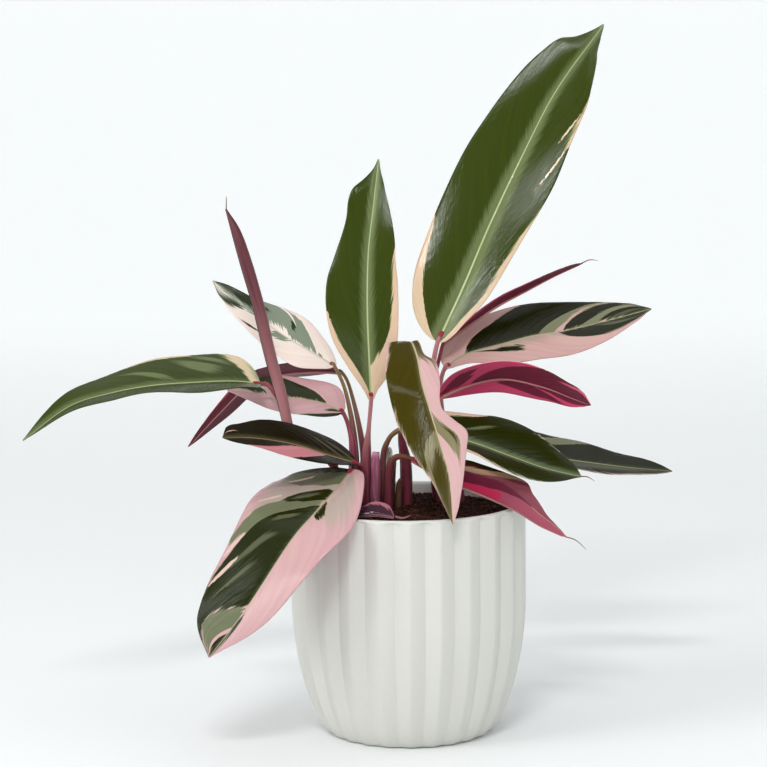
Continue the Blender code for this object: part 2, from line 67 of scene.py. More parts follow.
# The blades as they grow. Each has its midrib from base to tip; its outline between its ends,
# as (share of the midrib, half width left, half width right); the way its upper side faces,
# all along or at base, middle and tip; its palette; how pink its pale parts are beside the
# midrib and at the edge; the angle in degrees at which its halves rise from flat, and how
# much they turn further towards the edge; its edge's ripple as (height, waves, phase); the
# width of any silver feathering along its midrib, at base, middle and tip; and the zones of
# its left and its right half.
# A zone is (tone, ((vein, inner, outer), ...)): between its first and last lateral vein it
# reaches from inner to outer, as shares of the half width. A vein is named by where it
# leaves the midrib, and those below 0 leave it at the base.
# The silver zones are painted highlights: pale streaks laid into the colour where the waxy skin gleams.
ALL_OVER = ((-0.36, 0, 1), (1, 0, 1))
BLADES = {
    "tall": {
        "midrib": (
            (22, 12, 273), (40, 26, 309), (61, 40, 355), (84, 52, 401), (109, 60, 447), (143, 66, 493),
        ),
        "outline": (
            (0.05, 22, 9), (0.1, 29, 12), (0.2, 36, 19), (0.3, 38, 23), (0.4, 39, 26.5),
            (0.55, 38.5, 30), (0.67, 34.5, 28), (0.8, 28.5, 25), (0.86, 24.5, 19.5), (0.91, 19.5, 13),
            (0.935, 11.5, 8.5), (0.97, 4.5, 4),
        ),
        "face": ((-0.1, -1.0, 0.2), (-0.1, -1.0, 0.2), (-0.1, -1.0, 0.3)), "palette": "sunlit",
        "blush": (0.15, 0.45), "fold": 10, "bend": -14, "ripple": (1.2, 2.0, 0.6),
        "feather": (7.0, 5.5, 1.5),
        "left": (
            ("green", (
                (-0.13, 0, 0.5), (-0.115, 0, 0.7), (-0.09, 0, 0.8), (-0.05, 0, 0.85), (-0.01, 0, 0.93),
                (0.03, 0, 1), (1, 0, 1),
            )),
        ),
        "right": (
            ("green", (
                (-0.14, 0, 0.5), (-0.12, 0, 0.7), (-0.05, 0, 0.76), (0, 0, 0.8), (0.08, 0, 0.88),
                (0.1, 0, 0.95), (0.16, 0, 1), (0.31, 0, 1), (0.33, 0, 0.93), (0.36, 0, 0.9),
                (0.42, 0, 0.9), (0.46, 0, 0.96), (0.49, 0, 1), (1, 0, 1),
            )),
            ("pale", ((0.44, 0.74, 0.93), (0.455, 0.67, 0.92), (0.465, 0.76, 0.9))),
            ("pale", ((0.325, 0.64, 0.9), (0.337, 0.64, 0.96), (0.348, 0.8, 0.94))),
        ),
    },
    "middle": {
        "midrib": (
            (-25, 8, 233), (-26, 9, 260), (-27, 15, 296), (-26, 24, 334), (-22, 34, 368),
            (-18, 44, 400),
        ),
        "outline": (
            (0.05, 4.5, 5), (0.12, 10, 12), (0.2, 17, 17), (0.3, 25.5, 21), (0.4, 29, 22),
            (0.5, 28.5, 21.5), (0.58, 24, 19.5), (0.66, 20, 18), (0.73, 18, 15), (0.81, 18, 10.5),
            (0.86, 15.5, 7.5), (0.9, 9.5, 5.5), (0.95, 3.5, 2.5),
        ),
        "face": ((0.0, -1.0, 0.1), (0.0, -1.0, 0.1), (0.0, -1.0, 0.2)), "palette": "sunlit",
        "blush": (0.35, 0.6), "fold": 14, "bend": -16, "ripple": (1.0, 2.5, 2.1),
        "feather": (4.0, 4.0, 2.5),
        "left": (
            ("green", (
                (-0.035, 0, 0.5), (-0.02, 0, 0.7), (0.02, 0, 0.8), (0.04, 0, 0.88), (0.06, 0, 1),
                (1, 0, 1),
            )),
            ("silver_and_glint", ((0.7, 0.1, 0.14), (0.78, 0.12, 0.22), (0.86, 0.2, 0.3))),
        ),
        "right": (
            ("green", (
                (0.095, 0.6, 0.72), (0.11, 0.5, 0.74), (0.15, 0.26, 0.79), (0.18, 0.03, 0.8),
                (0.27, 0, 0.83), (0.29, 0, 1), (1, 0, 1),
            )),
            ("silver_and_glint", ((0.7, 0, 0.06), (0.78, 0, 0.24), (0.87, 0, 0.36), (0.93, 0, 0.1))),
        ),
    },
    "pale": {
        "midrib": (
            (-51, 45, 253), (-66, 55, 261), (-83, 65, 270), (-99, 74, 280), (-118, 82, 294),
            (-140, 90, 311),
        ),
        "outline": (
            (0.05, 9, 6), (0.2, 19, 14), (0.4, 18, 21), (0.6, 17, 19), (0.8, 12, 10), (0.93, 6, 5),
        ),
        "face": (0.1, -0.7, 0.7), "palette": "cream", "blush": (0.1, 0.4), "fold": 10, "bend": -12,
        "ripple": (0.8, 2.0, 1.0),
        "left": (
            ("grey", ((0.35, 0.2, 0.4), (0.4, 0.02, 0.4), (0.46, 0, 0.3), (0.52, 0, 0.2))),
            ("grey", ((0.68, 0, 0.1), (0.8, 0, 0.16), (0.92, 0, 0.2))),
            ("green", (
                (0.55, 0.9, 1), (0.6, 0.78, 1), (0.67, 0.56, 0.76), (0.72, 0.26, 0.62),
                (0.76, 0.1, 0.5), (0.81, 0.16, 0.26),
            )),
            ("green", ((0.4, 0.62, 0.67), (0.44, 0.68, 0.76), (0.475, 0.74, 0.8))),
        ),
        "right": (
            ("grey", (
                (0.285, 0.6, 0.9), (0.31, 0.3, 1), (0.36, 0.22, 1), (0.5, 0.2, 1), (0.7, 0, 0.5),
                (0.92, 0, 0.3),
            )),
            ("grey", (
                (0.15, 0.3, 0.6), (0.16, 0.1, 0.7), (0.18, 0.07, 0.86), (0.22, 0.05, 0.92),
                (0.26, 0.05, 0.9), (0.275, 0.05, 0.6), (0.35, 0.06, 0.5), (0.42, 0.1, 0.3),
            )),
            ("green", ((0.285, 0.5, 0.62), (0.31, 0.38, 0.72), (0.335, 0.34, 0.5), (0.35, 0.36, 0.4))),
            ("green", ((0.48, 0.6, 1), (0.55, 0.45, 1), (0.7, 0.2, 1), (1, 0, 1))),
            ("green", ((0.115, 0.02, 0.08), (0.14, 0.03, 0.12), (0.15, 0.06, 0.1))),
        ),
    },
    "far_left": {
        "midrib": (
            (-103, 22, 244), (-124, 12, 247), (-151, -2, 248), (-177, -16, 248), (-203, -30, 245),
            (-230, -44, 238), (-260, -58, 217),
        ),
        "outline": (
            (0.02, 9, 15), (0.05, 14, 22), (0.1, 18, 27), (0.2, 22, 30), (0.4, 24, 26), (0.6, 18, 20),
            (0.8, 14, 12), (0.93, 8, 6),
        ),
        "face": ((0.0, -0.4, 0.9), (0.0, -0.4, 0.9), (-0.3, -0.4, 0.8)), "palette": "sunlit",
        "blush": (0.0, 0.1), "fold": 22, "bend": -16, "ripple": (1.0, 2.5, 0.3),
        "feather": (1.5, 2.5, 2.0),
        "left": (
            ("green", ALL_OVER),
        ),
        "right": (
            ("green", (
                (-0.19, 0.97, 1), (-0.13, 0.83, 1), (-0.07, 0.63, 1), (0, 0.32, 1), (0.05, 0.04, 1),
                (0.07, 0, 1), (1, 0, 1),
            )),
            ("grey", (
                (-0.36, 0, 1), (-0.3, 0, 0.93), (-0.25, 0, 0.83), (-0.2, 0, 0.71), (-0.14, 0, 0.56),
                (-0.06, 0, 0.31), (-0.02, 0, 0.12),
            )),
            ("pale", ((-0.08, 0.96, 1), (0.05, 0.94, 1), (0.22, 0.965, 1))),
            ("silver_and_glint", ((0.04, 0.5, 0.76), (0.09, 0.4, 0.8), (0.13, 0.3, 0.7), (0.18, 0.3, 0.46))),
            ("silver_and_glint", ((0.33, 0.4, 0.6), (0.36, 0.16, 0.7), (0.4, 0.2, 0.4))),
            ("silver_and_glint", ((-0.08, 0.76, 0.94), (-0.04, 0.6, 0.92), (-0.01, 0.6, 0.8))),
        ),
    },
    "pink_left": {
        "midrib": ((-45, 22, 223), (-61, 28, 229), (-83, 35, 232), (-105, 44, 234), (-129, 56, 235)),
        "outline": (
            (0.05, 9, 9), (0.2, 18, 18), (0.4, 20, 20), (0.6, 17, 19), (0.8, 10, 15), (0.93, 4, 8),
        ),
        "face": (0.0, -0.55, 0.83), "palette": "rosy", "blush": (0.7, 0.8), "fold": 14, "bend": -12,
        "ripple": (0.8, 1.5, 0.0),
        "left": (
            ("green", (
                (-0.36, 0, 1), (-0.13, 0.3, 1), (-0.09, 0.84, 1), (-0.04, 0.93, 1), (-0.01, 0.98, 1),
            )),
            ("green", ((-0.05, 0.2, 0.42), (0.02, 0.08, 0.36), (0.07, 0.04, 0.26))),
        ),
        "right": (
            ("green", (
                (0.185, 0.03, 0.1), (0.21, 0.03, 0.3), (0.24, 0.03, 0.6), (0.29, 0.04, 0.7),
                (0.32, 0.05, 0.8), (0.35, 0.05, 1), (0.5, 0.06, 1), (0.6, 0.2, 1), (0.65, 0.5, 1),
            )),
            ("green", ((0.68, 0.08, 0.3), (0.75, 0.07, 0.5), (0.8, 0.14, 0.55), (0.84, 0.3, 0.5))),
            ("veil", ((0.6, 0.05, 0.4), (0.68, 0.05, 0.9), (0.8, 0.05, 1), (0.95, 0, 1))),
        ),
    },
    "maroon": {
        "midrib": (
            (-46, 52, 248), (-66, 66, 247), (-92, 80, 243), (-113, 92, 236), (-136, 102, 214),
            (-162, 108, 186),
        ),
        "outline": (
            (0.05, 6, 7), (0.2, 11, 12), (0.4, 12, 14), (0.6, 8, 13), (0.8, 6, 11), (0.93, 3, 5),
        ),
        "face": ((0.0, 0.5, 0.85), (-0.1, 0.6, 0.8), (-0.5, 0.8, 0.3)), "palette": "shaded",
        "blush": (0.7, 0.8), "fold": 12, "bend": 0, "ripple": (0.6, 2.0, 0.5),
        "left": (
            ("green", (
                (-0.36, 0, 1), (0.2, 0, 1), (0.35, 0, 0.6), (0.45, 0, 0.7), (0.55, 0, 1), (1, 0, 1),
            )),
        ),
        "right": (
            ("green", ALL_OVER),
        ),
    },
    "dark": {
        "midrib": (
            (-35, -8, 191), (-54, -22, 199), (-74, -35, 208), (-94, -46, 214), (-110, -54, 217),
            (-125, -60, 218),
        ),
        "outline": (
            (0.05, 6, 15), (0.1, 9, 20), (0.2, 14, 23), (0.4, 20, 22), (0.6, 18, 19), (0.8, 12, 14),
            (0.93, 6, 11),
        ),
        "face": (0.0, -0.5, 0.85), "palette": "dusky", "blush": (0.9, 1.0), "fold": 14, "bend": -14,
        "ripple": (0.8, 1.5, 1.2), "feather": (3.0, 1.5, 1.5),
        "left": (
            ("green", (
                (-0.36, 0, 1), (0.13, 0, 1), (0.15, 0, 0.55), (0.2, 0, 0.1), (0.33, 0, 0.03),
                (0.41, 0, 0.16), (0.45, 0, 0.4), (0.458, 0, 0.8), (0.47, 0, 1), (1, 0, 1),
            )),
        ),
        "right": (
            ("green", ALL_OVER),
            ("pale", ((0.73, 0.43, 0.5), (0.76, 0.45, 0.55), (0.8, 0.5, 0.58))),
            ("silver_and_glint", ((0.07, 0.12, 0.6), (0.09, 0.08, 0.66), (0.11, 0.2, 0.5))),
            ("silver_and_glint", ((-0.05, 0.2, 0.6), (-0.02, 0.16, 0.7), (0, 0.2, 0.5))),
        ),
    },
    "big": {
        "midrib": (
            (-39, -16, 188), (-49, -42, 179), (-63, -64, 167), (-80, -82, 150), (-108, -98, 110),
            (-134, -104, 77),
        ),
        "outline": (
            (0.05, 11, 36), (0.12, 16, 45), (0.2, 21, 50), (0.4, 32, 48), (0.5, 33, 46), (0.6, 30, 43),
            (0.7, 25, 39), (0.8, 19, 35), (0.9, 10, 27), (0.95, 5, 19),
        ),
        "face": ((-0.2, -0.4, 0.9), (-0.3, -0.7, 0.7), (-0.3, -0.9, 0.4)), "palette": "rosy",
        "blush": (0.6, 0.8), "fold": 8, "bend": -12, "ripple": (1.6, 2.0, 0.9),
        "left": (
            ("green", ((0.3, 0.02, 0.08), (0.35, 0.03, 0.26), (0.39, 0.04, 0.24), (0.42, 0.05, 0.1))),
            ("green", (
                (0.8, 0.06, 0.2), (0.84, 0.05, 0.24), (0.9, 0, 0.2), (0.95, 0, 0.4), (1, 0, 0.7),
            )),
            ("veil", (
                (-0.04, 0.3, 0.64), (0.05, 0.2, 0.76), (0.14, 0.15, 0.78), (0.23, 0.1, 0.66),
                (0.32, 0.08, 0.52), (0.36, 0.12, 0.3),
            )),
        ),
        "right": (
            ("green", (
                (-0.36, 0, 1), (-0.3, 0, 1), (-0.25, 0, 0.92), (-0.2, 0, 0.8), (-0.14, 0, 0.66),
                (-0.06, 0, 0.43), (0.01, 0, 0.14),
            )),
            ("grey", (
                (-0.29, 0, 1), (-0.2, 0, 0.95), (-0.07, 0, 0.82), (0, 0, 0.7), (0.09, 0, 0.5),
                (0.15, 0, 0.2),
            )),
            ("veil", (
                (-0.1, 0, 0.95), (0.05, 0, 0.9), (0.16, 0, 0.86), (0.2, 0, 0.84), (0.27, 0, 0.9),
            )),
            ("pale", ((-0.06, 0.5, 0.74), (-0.035, 0.5, 0.74), (-0.02, 0.5, 0.7))),
            ("pale", ((0.165, 0.62, 0.86), (0.175, 0.6, 0.9), (0.19, 0.66, 0.86))),
            ("green", ((0.19, 0.1, 0.4), (0.22, 0.02, 0.55), (0.26, 0.02, 0.52), (0.3, 0.02, 0.25))),
            ("grey", (
                (0.24, 0.3, 0.7), (0.27, 0.08, 0.85), (0.3, 0.02, 0.96), (0.34, 0.03, 1),
                (0.39, 0.2, 0.75),
            )),
            ("green", (
                (0.35, 0, 0.1), (0.37, 0, 0.5), (0.39, 0, 0.76), (0.42, 0, 0.95), (0.47, 0, 0.97),
                (0.52, 0, 1), (0.66, 0, 1), (0.67, 0, 0.78), (0.71, 0, 0.54), (0.76, 0, 0.28),
                (0.79, 0, 0.1),
            )),
            ("pale", ((0.363, 0.84, 0.98), (0.378, 0.79, 0.98), (0.392, 0.78, 0.9))),
            ("pale", ((0.463, 0.82, 0.98), (0.482, 0.7, 0.98), (0.498, 0.67, 0.8))),
            ("silver_and_glint", ((0.49, 0.44, 0.78), (0.51, 0.34, 0.74), (0.53, 0.28, 0.5))),
            ("silver_and_glint", ((0.585, 0.46, 0.8), (0.6, 0.38, 0.74), (0.615, 0.34, 0.5))),
            ("silver_and_glint", ((0.225, 0.2, 0.4), (0.24, 0.16, 0.46), (0.26, 0.24, 0.38))),
            ("silver_and_glint", ((0.4, 0.2, 0.4), (0.415, 0.16, 0.5), (0.43, 0.26, 0.42))),
            ("grey", (
                (0.665, 0.84, 0.95), (0.7, 0.56, 0.84), (0.74, 0.4, 0.78), (0.78, 0.15, 0.74),
                (0.82, 0, 0.66), (0.88, 0, 0.5),
            )),
            ("green", ((0.9, 0, 0.12), (0.95, 0, 0.4), (1, 0, 0.8))),
        ),
    },
    "drooping": {
        "midrib": (
            (2, -6, 268), (3, -18, 277), (7, -34, 268), (10, -46, 251), (15, -54, 234), (21, -64, 214),
            (27, -76, 192), (29, -92, 163),
        ),
        "outline": (
            (0.05, 4, 8), (0.2, 5, 19), (0.28, 5.5, 21.5), (0.33, 12, 23), (0.45, 12, 23.5),
            (0.54, 8.5, 24), (0.59, 8.5, 24), (0.65, 14, 22.5), (0.71, 20, 20.5), (0.78, 16, 17.5),
            (0.83, 12, 14.5), (0.91, 7, 8.5), (0.96, 4, 4),
        ),
        "face": ((0.0, 0.3, 0.95), (-0.1, -0.9, 0.3), (-0.1, -0.95, 0.2)), "palette": "olive",
        "blush": (0.6, 0.75), "fold": 10, "bend": -12, "ripple": (0.8, 2.0, 1.7),
        "feather": (0.0, 1.0, 1.0),
        "left": (
            ("green", (
                (-0.12, 0.2, 1), (0.06, 0, 0.75), (0.16, 0, 0.46), (0.24, 0, 0.2), (0.28, 0, 0.05),
            )),
            ("grey", (
                (0.51, 0.58, 0.74), (0.54, 0.38, 0.76), (0.56, 0.04, 0.74), (0.6, 0, 0.72),
                (0.64, 0, 0.5), (0.67, 0, 0.2),
            )),
            ("green", ((0.53, 0.5, 0.7), (0.56, 0.3, 0.66), (0.585, 0.34, 0.6))),
        ),
        "right": (
            ("green", (
                (-0.2, 0.8, 0.84), (-0.08, 0.7, 0.86), (-0.02, 0.58, 0.9), (0.02, 0.5, 1),
                (0.1, 0.24, 1), (0.16, 0, 1), (0.17, 0, 0.92), (0.2, 0, 0.94), (0.45, 0, 0.94),
                (0.53, 0, 0.9), (0.545, 0, 0.62), (0.58, 0, 0.45), (0.64, 0, 0.15), (0.66, 0, 0.05),
            )),
            ("grey", (
                (0.52, 0.55, 0.9), (0.56, 0.42, 0.92), (0.62, 0.12, 0.92), (0.68, 0, 0.9),
                (0.76, 0, 0.9), (0.82, 0.3, 0.92),
            )),
            ("green", (
                (0.59, 0.75, 0.93), (0.66, 0.44, 0.9), (0.7, 0.16, 0.86), (0.76, 0.06, 0.84),
                (0.85, 0.02, 0.88), (1, 0, 1),
            )),
            ("silver_and_glint", ((0.655, 0.3, 0.5), (0.67, 0.2, 0.5), (0.68, 0.2, 0.4))),
        ),
    },
    "right_upper": {
        "midrib": (
            (27, 20, 254), (43, 26, 263), (68, 32, 269), (90, 38, 274), (114, 43, 277), (143, 48, 283),
            (176, 52, 291),
        ),
        "outline": (
            (0.05, 12, 5), (0.2, 24, 12), (0.4, 30, 23), (0.6, 28, 26), (0.8, 20, 19), (0.93, 11, 9),
        ),
        "face": (0.0, -0.65, 0.75), "palette": "shaded", "blush": (0.6, 0.7), "fold": 10, "bend": -12,
        "ripple": (1.0, 2.0, 0.2),
        "left": (
            ("green", (
                (0.1, 0.45, 0.6), (0.13, 0.2, 0.7), (0.16, 0.01, 0.9), (0.175, 0, 1), (0.48, 0, 1),
                (0.51, 0, 0.85), (0.53, 0, 0.6),
            )),
            ("grey", ((0.46, 0.93, 1), (0.51, 0.7, 1), (0.53, 0, 0.9), (0.57, 0, 0.6), (0.61, 0, 0.3))),
            ("green", (
                (0.53, 0.93, 1), (0.6, 0.6, 1), (0.62, 0.34, 0.9), (0.65, 0.03, 0.75),
                (0.7, 0.03, 0.58), (0.73, 0.1, 0.26),
            )),
            ("grey", (
                (0.6, 0.93, 1), (0.68, 0.66, 0.95), (0.735, 0, 0.7), (0.78, 0, 0.45), (0.8, 0, 0.14),
            )),
            ("green", ((0.66, 0.9, 1), (0.73, 0.74, 1), (0.79, 0.1, 1), (0.85, 0.03, 1), (1, 0, 1))),
            ("silver_and_glint", ((0.83, 0.1, 0.5), (0.86, 0.06, 0.5), (0.88, 0.1, 0.3))),
        ),
        "right": (
            ("green", (
                (0.18, 0.13, 0.2), (0.22, 0.19, 0.5), (0.26, 0.21, 0.5), (0.31, 0.25, 0.4),
                (0.35, 0.25, 0.3),
            )),
            ("green", (
                (0.595, 0.4, 0.62), (0.62, 0.05, 0.7), (0.66, 0.02, 0.78), (0.72, 0.02, 0.84),
                (0.8, 0.02, 0.9), (1, 0, 1),
            )),
            ("silver_and_glint", ((0.76, 0.2, 0.5), (0.79, 0.1, 0.6), (0.82, 0.2, 0.4))),
            ("veil", ((0.3, 0, 0.16), (0.45, 0, 0.2), (0.6, 0, 0.14))),
        ),
    },
    "magenta": {
        "midrib": (
            (22, 10, 234), (44, 4, 244), (68, -4, 249), (95, -14, 244), (112, -22, 238),
            (126, -28, 233),
        ),
        "outline": (
            (0.05, 4, 9), (0.2, 10, 20), (0.4, 13, 22), (0.6, 13, 22), (0.8, 9, 18), (0.93, 4, 11),
        ),
        "face": (0.0, 0.75, 0.65), "palette": "wine", "blush": (0.7, 0.8), "fold": -8, "bend": 0,
        "ripple": (0.8, 2.0, 0.4),
        "left": (
            ("green", (
                (0.27, 0.38, 0.6), (0.32, 0.2, 0.76), (0.38, 0.12, 0.9), (0.47, 0.04, 0.76),
                (0.505, 0.1, 0.6),
            )),
            ("green", ((0.53, 0, 0.12), (0.58, 0, 0.42), (0.64, 0, 0.56), (0.7, 0, 0.8), (1, 0, 1))),
        ),
        "right": (
            ("green", (
                (-0.12, 0.1, 0.5), (-0.03, 0.1, 0.76), (0.04, 0.18, 0.78), (0.09, 0.18, 0.5),
                (0.13, 0.24, 0.38),
            )),
            ("green", ((0.2, 0, 0.3), (0.23, 0, 0.95), (0.28, 0, 1), (1, 0, 1))),
            ("pale", (
                (0.49, 0.68, 0.8), (0.54, 0.72, 1), (0.65, 0.76, 1), (0.73, 0.74, 0.96),
                (0.78, 0.8, 0.9),
            )),
        ),
    },
    "thin": {
        "midrib": (
            (26, 22, 272), (45, 28, 284), (65, 36, 296), (85, 46, 305), (107, 56, 315), (128, 66, 323),
        ),
        "outline": ((0.05, 3, 3), (0.2, 6, 6), (0.4, 8, 8), (0.6, 7, 7), (0.8, 5, 5), (0.93, 3, 3)),
        "face": (-0.4, 0.5, 0.75), "palette": "shaded", "blush": (0.9, 0.9), "fold": 16, "bend": 0,
        "ripple": (0.3, 2.0, 0.0),
        "left": (
            ("green", ((-0.1, 0, 0.6), (0.1, 0, 0.8), (1, 0, 1))),
        ),
        "right": (
            ("green", ((0, 0.2, 0.6), (0.2, 0, 0.8), (1, 0, 1))),
        ),
    },
    "right_lower": {
        "midrib": (
            (-2, -2, 214), (16, -6, 212), (43, -14, 206.5), (71, -24, 197.5), (94, -34, 190.5),
            (118, -44, 186),
        ),
        "outline": (
            (0.05, 13, 7), (0.2, 20, 12), (0.37, 26, 13), (0.45, 29.5, 14), (0.52, 30, 16),
            (0.62, 27.5, 18), (0.72, 23.5, 18), (0.8, 20, 17), (0.87, 15.5, 15), (0.93, 10.5, 11),
        ),
        "face": (0.1, -0.55, 0.83), "palette": "deep", "blush": (0.2, 0.4), "fold": 15, "bend": -14,
        "ripple": (1.0, 2.0, 0.8), "feather": (2.5, 2.5, 1.5),
        "left": (
            ("green", (
                (-0.36, 0, 0.5), (-0.1, 0, 0.7), (0, 0, 0.75), (0.07, 0, 0.87), (0.09, 0, 1),
                (0.29, 0, 1), (0.3, 0, 0.96), (0.45, 0, 0.965), (0.5, 0, 1), (1, 0, 1),
            )),
            ("silver_and_glint", ((0.25, 0.4, 0.6), (0.275, 0.36, 0.66), (0.3, 0.4, 0.5))),
        ),
        "right": (
            ("green", (
                (-0.36, 0, 0.5), (0.05, 0, 0.72), (0.15, 0, 0.82), (0.2, 0, 0.9), (0.26, 0, 0.95),
                (0.4, 0, 0.95), (0.5, 0, 1), (1, 0, 1),
            )),
        ),
    },
    "far_right": {
        "midrib": (
            (45, 34, 201), (81, 44, 192), (114, 52, 183), (140, 58, 178), (166, 62, 174),
            (193, 64, 171),
        ),
        "outline": (
            (0.05, 10, 7), (0.2, 22, 16), (0.4, 23, 15), (0.6, 18, 13), (0.8, 13, 11), (0.93, 6, 5),
        ),
        "face": (0.1, -0.45, 0.9), "palette": "shaded", "blush": (0.4, 0.5), "fold": 12, "bend": -10,
        "ripple": (1.0, 2.5, 0.4), "feather": (0.0, 0.5, 0.5),
        "left": (
            ("green", (
                (-0.36, 0, 1), (0.03, 0, 1), (0.05, 0, 0.7), (0.1, 0, 0.55), (0.21, 0, 0.5),
                (0.228, 0, 1), (1, 0, 1),
            )),
            ("grey", ((0, 0.85, 1), (0.05, 0.6, 1), (0.1, 0.54, 1), (0.17, 0.52, 1), (0.225, 0.48, 1))),
        ),
        "right": (
            ("green", ((-0.36, 0, 1), (0.3, 0, 0.95), (0.5, 0, 0.88), (0.7, 0, 0.93), (1, 0, 1))),
            ("silver_and_glint", ((0.15, 0.2, 0.7), (0.35, 0.15, 0.6), (0.6, 0.1, 0.5), (0.8, 0.2, 0.4))),
        ),
    },
    "folded": {
        "midrib": (
            (4, -8, 194), (29, -24, 181), (55, -40, 172), (73, -52, 165), (89, -62, 156),
            (106, -70, 149),
        ),
        "outline": (
            (0.05, 8, 6), (0.2, 19, 13), (0.3, 22, 15), (0.45, 24, 16), (0.55, 22, 14.5),
            (0.62, 16, 13), (0.75, 10.5, 10), (0.86, 7, 7), (0.95, 3, 3),
        ),
        "face": ((0.2, 0.1, 0.95), (0.3, 0.1, 0.9), (0.4, 0.0, 0.9)), "palette": "tan",
        "blush": (0.3, 0.5), "fold": 50, "bend": 10, "ripple": (0.8, 2.0, 0.5),
        "left": (
            ("green", ((-0.36, 0, 1), (-0.12, 0.5, 1), (-0.02, 0.8, 1), (0.04, 0.95, 1))),
            ("grey", ((0.02, 0, 0.3), (0.1, 0, 0.6), (0.15, 0, 0.9), (0.2, 0, 1), (1, 0, 1))),
            ("veil", ((-0.1, 0, 0.6), (0.1, 0, 0.5), (0.3, 0, 0.9))),
        ),
        "right": (
            ("green", ((-0.36, 0, 1), (0.05, 0, 1), (0.14, 0.1, 1), (0.24, 0.4, 1), (0.34, 0.75, 1))),
            ("pale", ((0.17, 0.1, 0.3), (0.24, 0.04, 0.46), (0.34, 0.04, 0.5), (0.44, 0.05, 0.2))),
        ),
    },
    "back": {
        "midrib": ((-17, 38, 170), (-16, 40, 178), (-14, 42, 187), (-12, 43, 194)),
        "outline": ((0.05, 3, 3), (0.2, 5, 5), (0.4, 6, 6), (0.6, 5, 5), (0.8, 3, 3), (0.93, 2, 2)),
        "face": (0.2, -0.9, 0.4), "palette": "cream", "blush": (0.1, 0.2), "fold": 15, "bend": 0,
        "ripple": (0.2, 2.0, 0.0),
        "left": (
            ("grey", ((-0.1, 0, 0.7), (1, 0, 0.9))),
        ),
        "right": (
            ("grey", ((0.2, 0, 0.4), (0.8, 0, 0.7))),
        ),
    },
    "fallen": {
        "midrib": ((-10, -43, 158.9), (-19, -41, 160.3), (-28, -41, 160.3), (-38, -42, 158.7)),
        "outline": (
            (0.05, 1.5, 3), (0.2, 2, 8), (0.4, 2, 10), (0.6, 2, 9), (0.8, 1.5, 6), (0.93, 1, 3),
        ),
        "face": (0.0, -0.7, 0.7), "palette": "withered", "blush": (0.8, 1.0), "fold": 8, "bend": 0,
        "ripple": (0.3, 2.0, 0.0),
        "left": (
            ("green", ((-0.2, 0, 0.7), (1, 0, 0.7))),
        ),
        "right": (
            ("green", ((-0.2, 0, 0.6), (0.4, 0, 0.86), (1, 0, 0.7))),
        ),
    },
}

# The stalks: each one's tissue, its route up from the soil towards its blade, and its radius
# at each of those points and where it ends
STALKS = {
    "tall": {
        "route": ((24, 25, SOIL_TOP), (20, 22, 195), (17, 18, 235), (19, 13, 258)),
        "radii": (3.0, 2.4, 1.8, 1.8, 1.6), "tissue": "pink",
    },
    "middle": {
        "route": ((-29, 10, SOIL_TOP), (-29, 10, 192), (-27, 9, 212)),
        "radii": (3.9, 3.4, 1.6, 1.5), "tissue": "pink",
    },
    "rolled": {
        "route": ((-47, 4, SOIL_TOP), (-50, 2, 182), (-60, -2, 197), (-75, -7, 204), (-82, -8, 211)),
        "radii": (2.4, 2.2, 1.8, 1.8, 1.8, 1.8), "tissue": "maroon",
    },
    "pale": {
        "route": ((-36, 20, SOIL_TOP), (-37, 24, 200), (-43, 38, 234)),
        "radii": (2.6, 2.0, 1.4, 1.3), "tissue": "olive",
    },
    "maroon": {
        "route": ((-29, 24, SOIL_TOP), (-32, 28, 200), (-40, 43, 236)),
        "radii": (2.4, 1.9, 1.3, 1.3), "tissue": "olive",
    },
    "far_left": {
        "route": (
            (-47, 16, SOIL_TOP), (-52, 15, 188), (-66, 10, 206),
            (-81, 6, 215), (-86, 8, 227), (-97, 21, 242),
        ),
        "radii": (2.2, 2.0, 1.8, 1.6, 1.5, 1.5, 1.4), "tissue": "maroon",
    },
    "pink_left": {
        "route": ((-40, 8, SOIL_TOP), (-38, 14, 195), (-41, 20, 212)),
        "radii": (3.0, 2.6, 1.6, 1.5), "tissue": "maroon",
    },
    "dark": {
        "route": ((-32, -1, SOIL_TOP), (-31, -2, 184)),
        "radii": (2.2, 1.8, 1.5), "tissue": "maroon",
    },
    "big": {
        "route": ((-40, -2, SOIL_TOP), (-39, -6, 184)),
        "radii": (2.2, 1.9, 1.5), "tissue": "maroon",
    },
    "drooping": {
        "route": ((-1, 14, SOIL_TOP), (-1, 13, 186), (-4, 8, 210), (0, 2, 248)),
        "radii": (4.0, 3.6, 2.2, 1.8, 1.5), "tissue": "maroon",
    },
    "right_upper": {
        "route": ((31, 25, SOIL_TOP), (27, 26, 200), (24, 23, 238)),
        "radii": (2.6, 2.0, 1.6, 1.5), "tissue": "pink",
    },
    "magenta": {
        "route": ((29, 15, SOIL_TOP), (25, 16, 205), (22, 14, 226)),
        "radii": (2.4, 1.9, 1.5, 1.4), "tissue": "maroon",
    },
    "thin": {
        "route": ((21, 34, SOIL_TOP), (17, 33, 200), (17, 27, 235), (22, 23, 255)),
        "radii": (2.4, 1.9, 1.5, 1.4, 1.3), "tissue": "maroon",
    },
    "right_lower": {
        "route": ((-17, 13, SOIL_TOP), (-17, 12, 190), (-13, 6, 205), (-7, 0, 212)),
        "radii": (2.2, 2.0, 1.7, 1.8, 1.6), "tissue": "olive",
    },
    "far_right": {
        "route": ((38, 26, SOIL_TOP), (38, 29, 187), (41, 33, 198)),
        "radii": (2.4, 2.0, 1.6, 1.5), "tissue": "maroon",
    },
    "folded": {
        "route": ((-14, 2, SOIL_TOP), (-13, 0, 182), (-8, -4, 194)),
        "radii": (3.2, 2.4, 2.2, 1.6), "tissue": "brown",
    },
    "back": {
        "route": ((-18, 34, SOIL_TOP),),
        "radii": (1.6, 1.2), "tissue": "olive",
    },
}

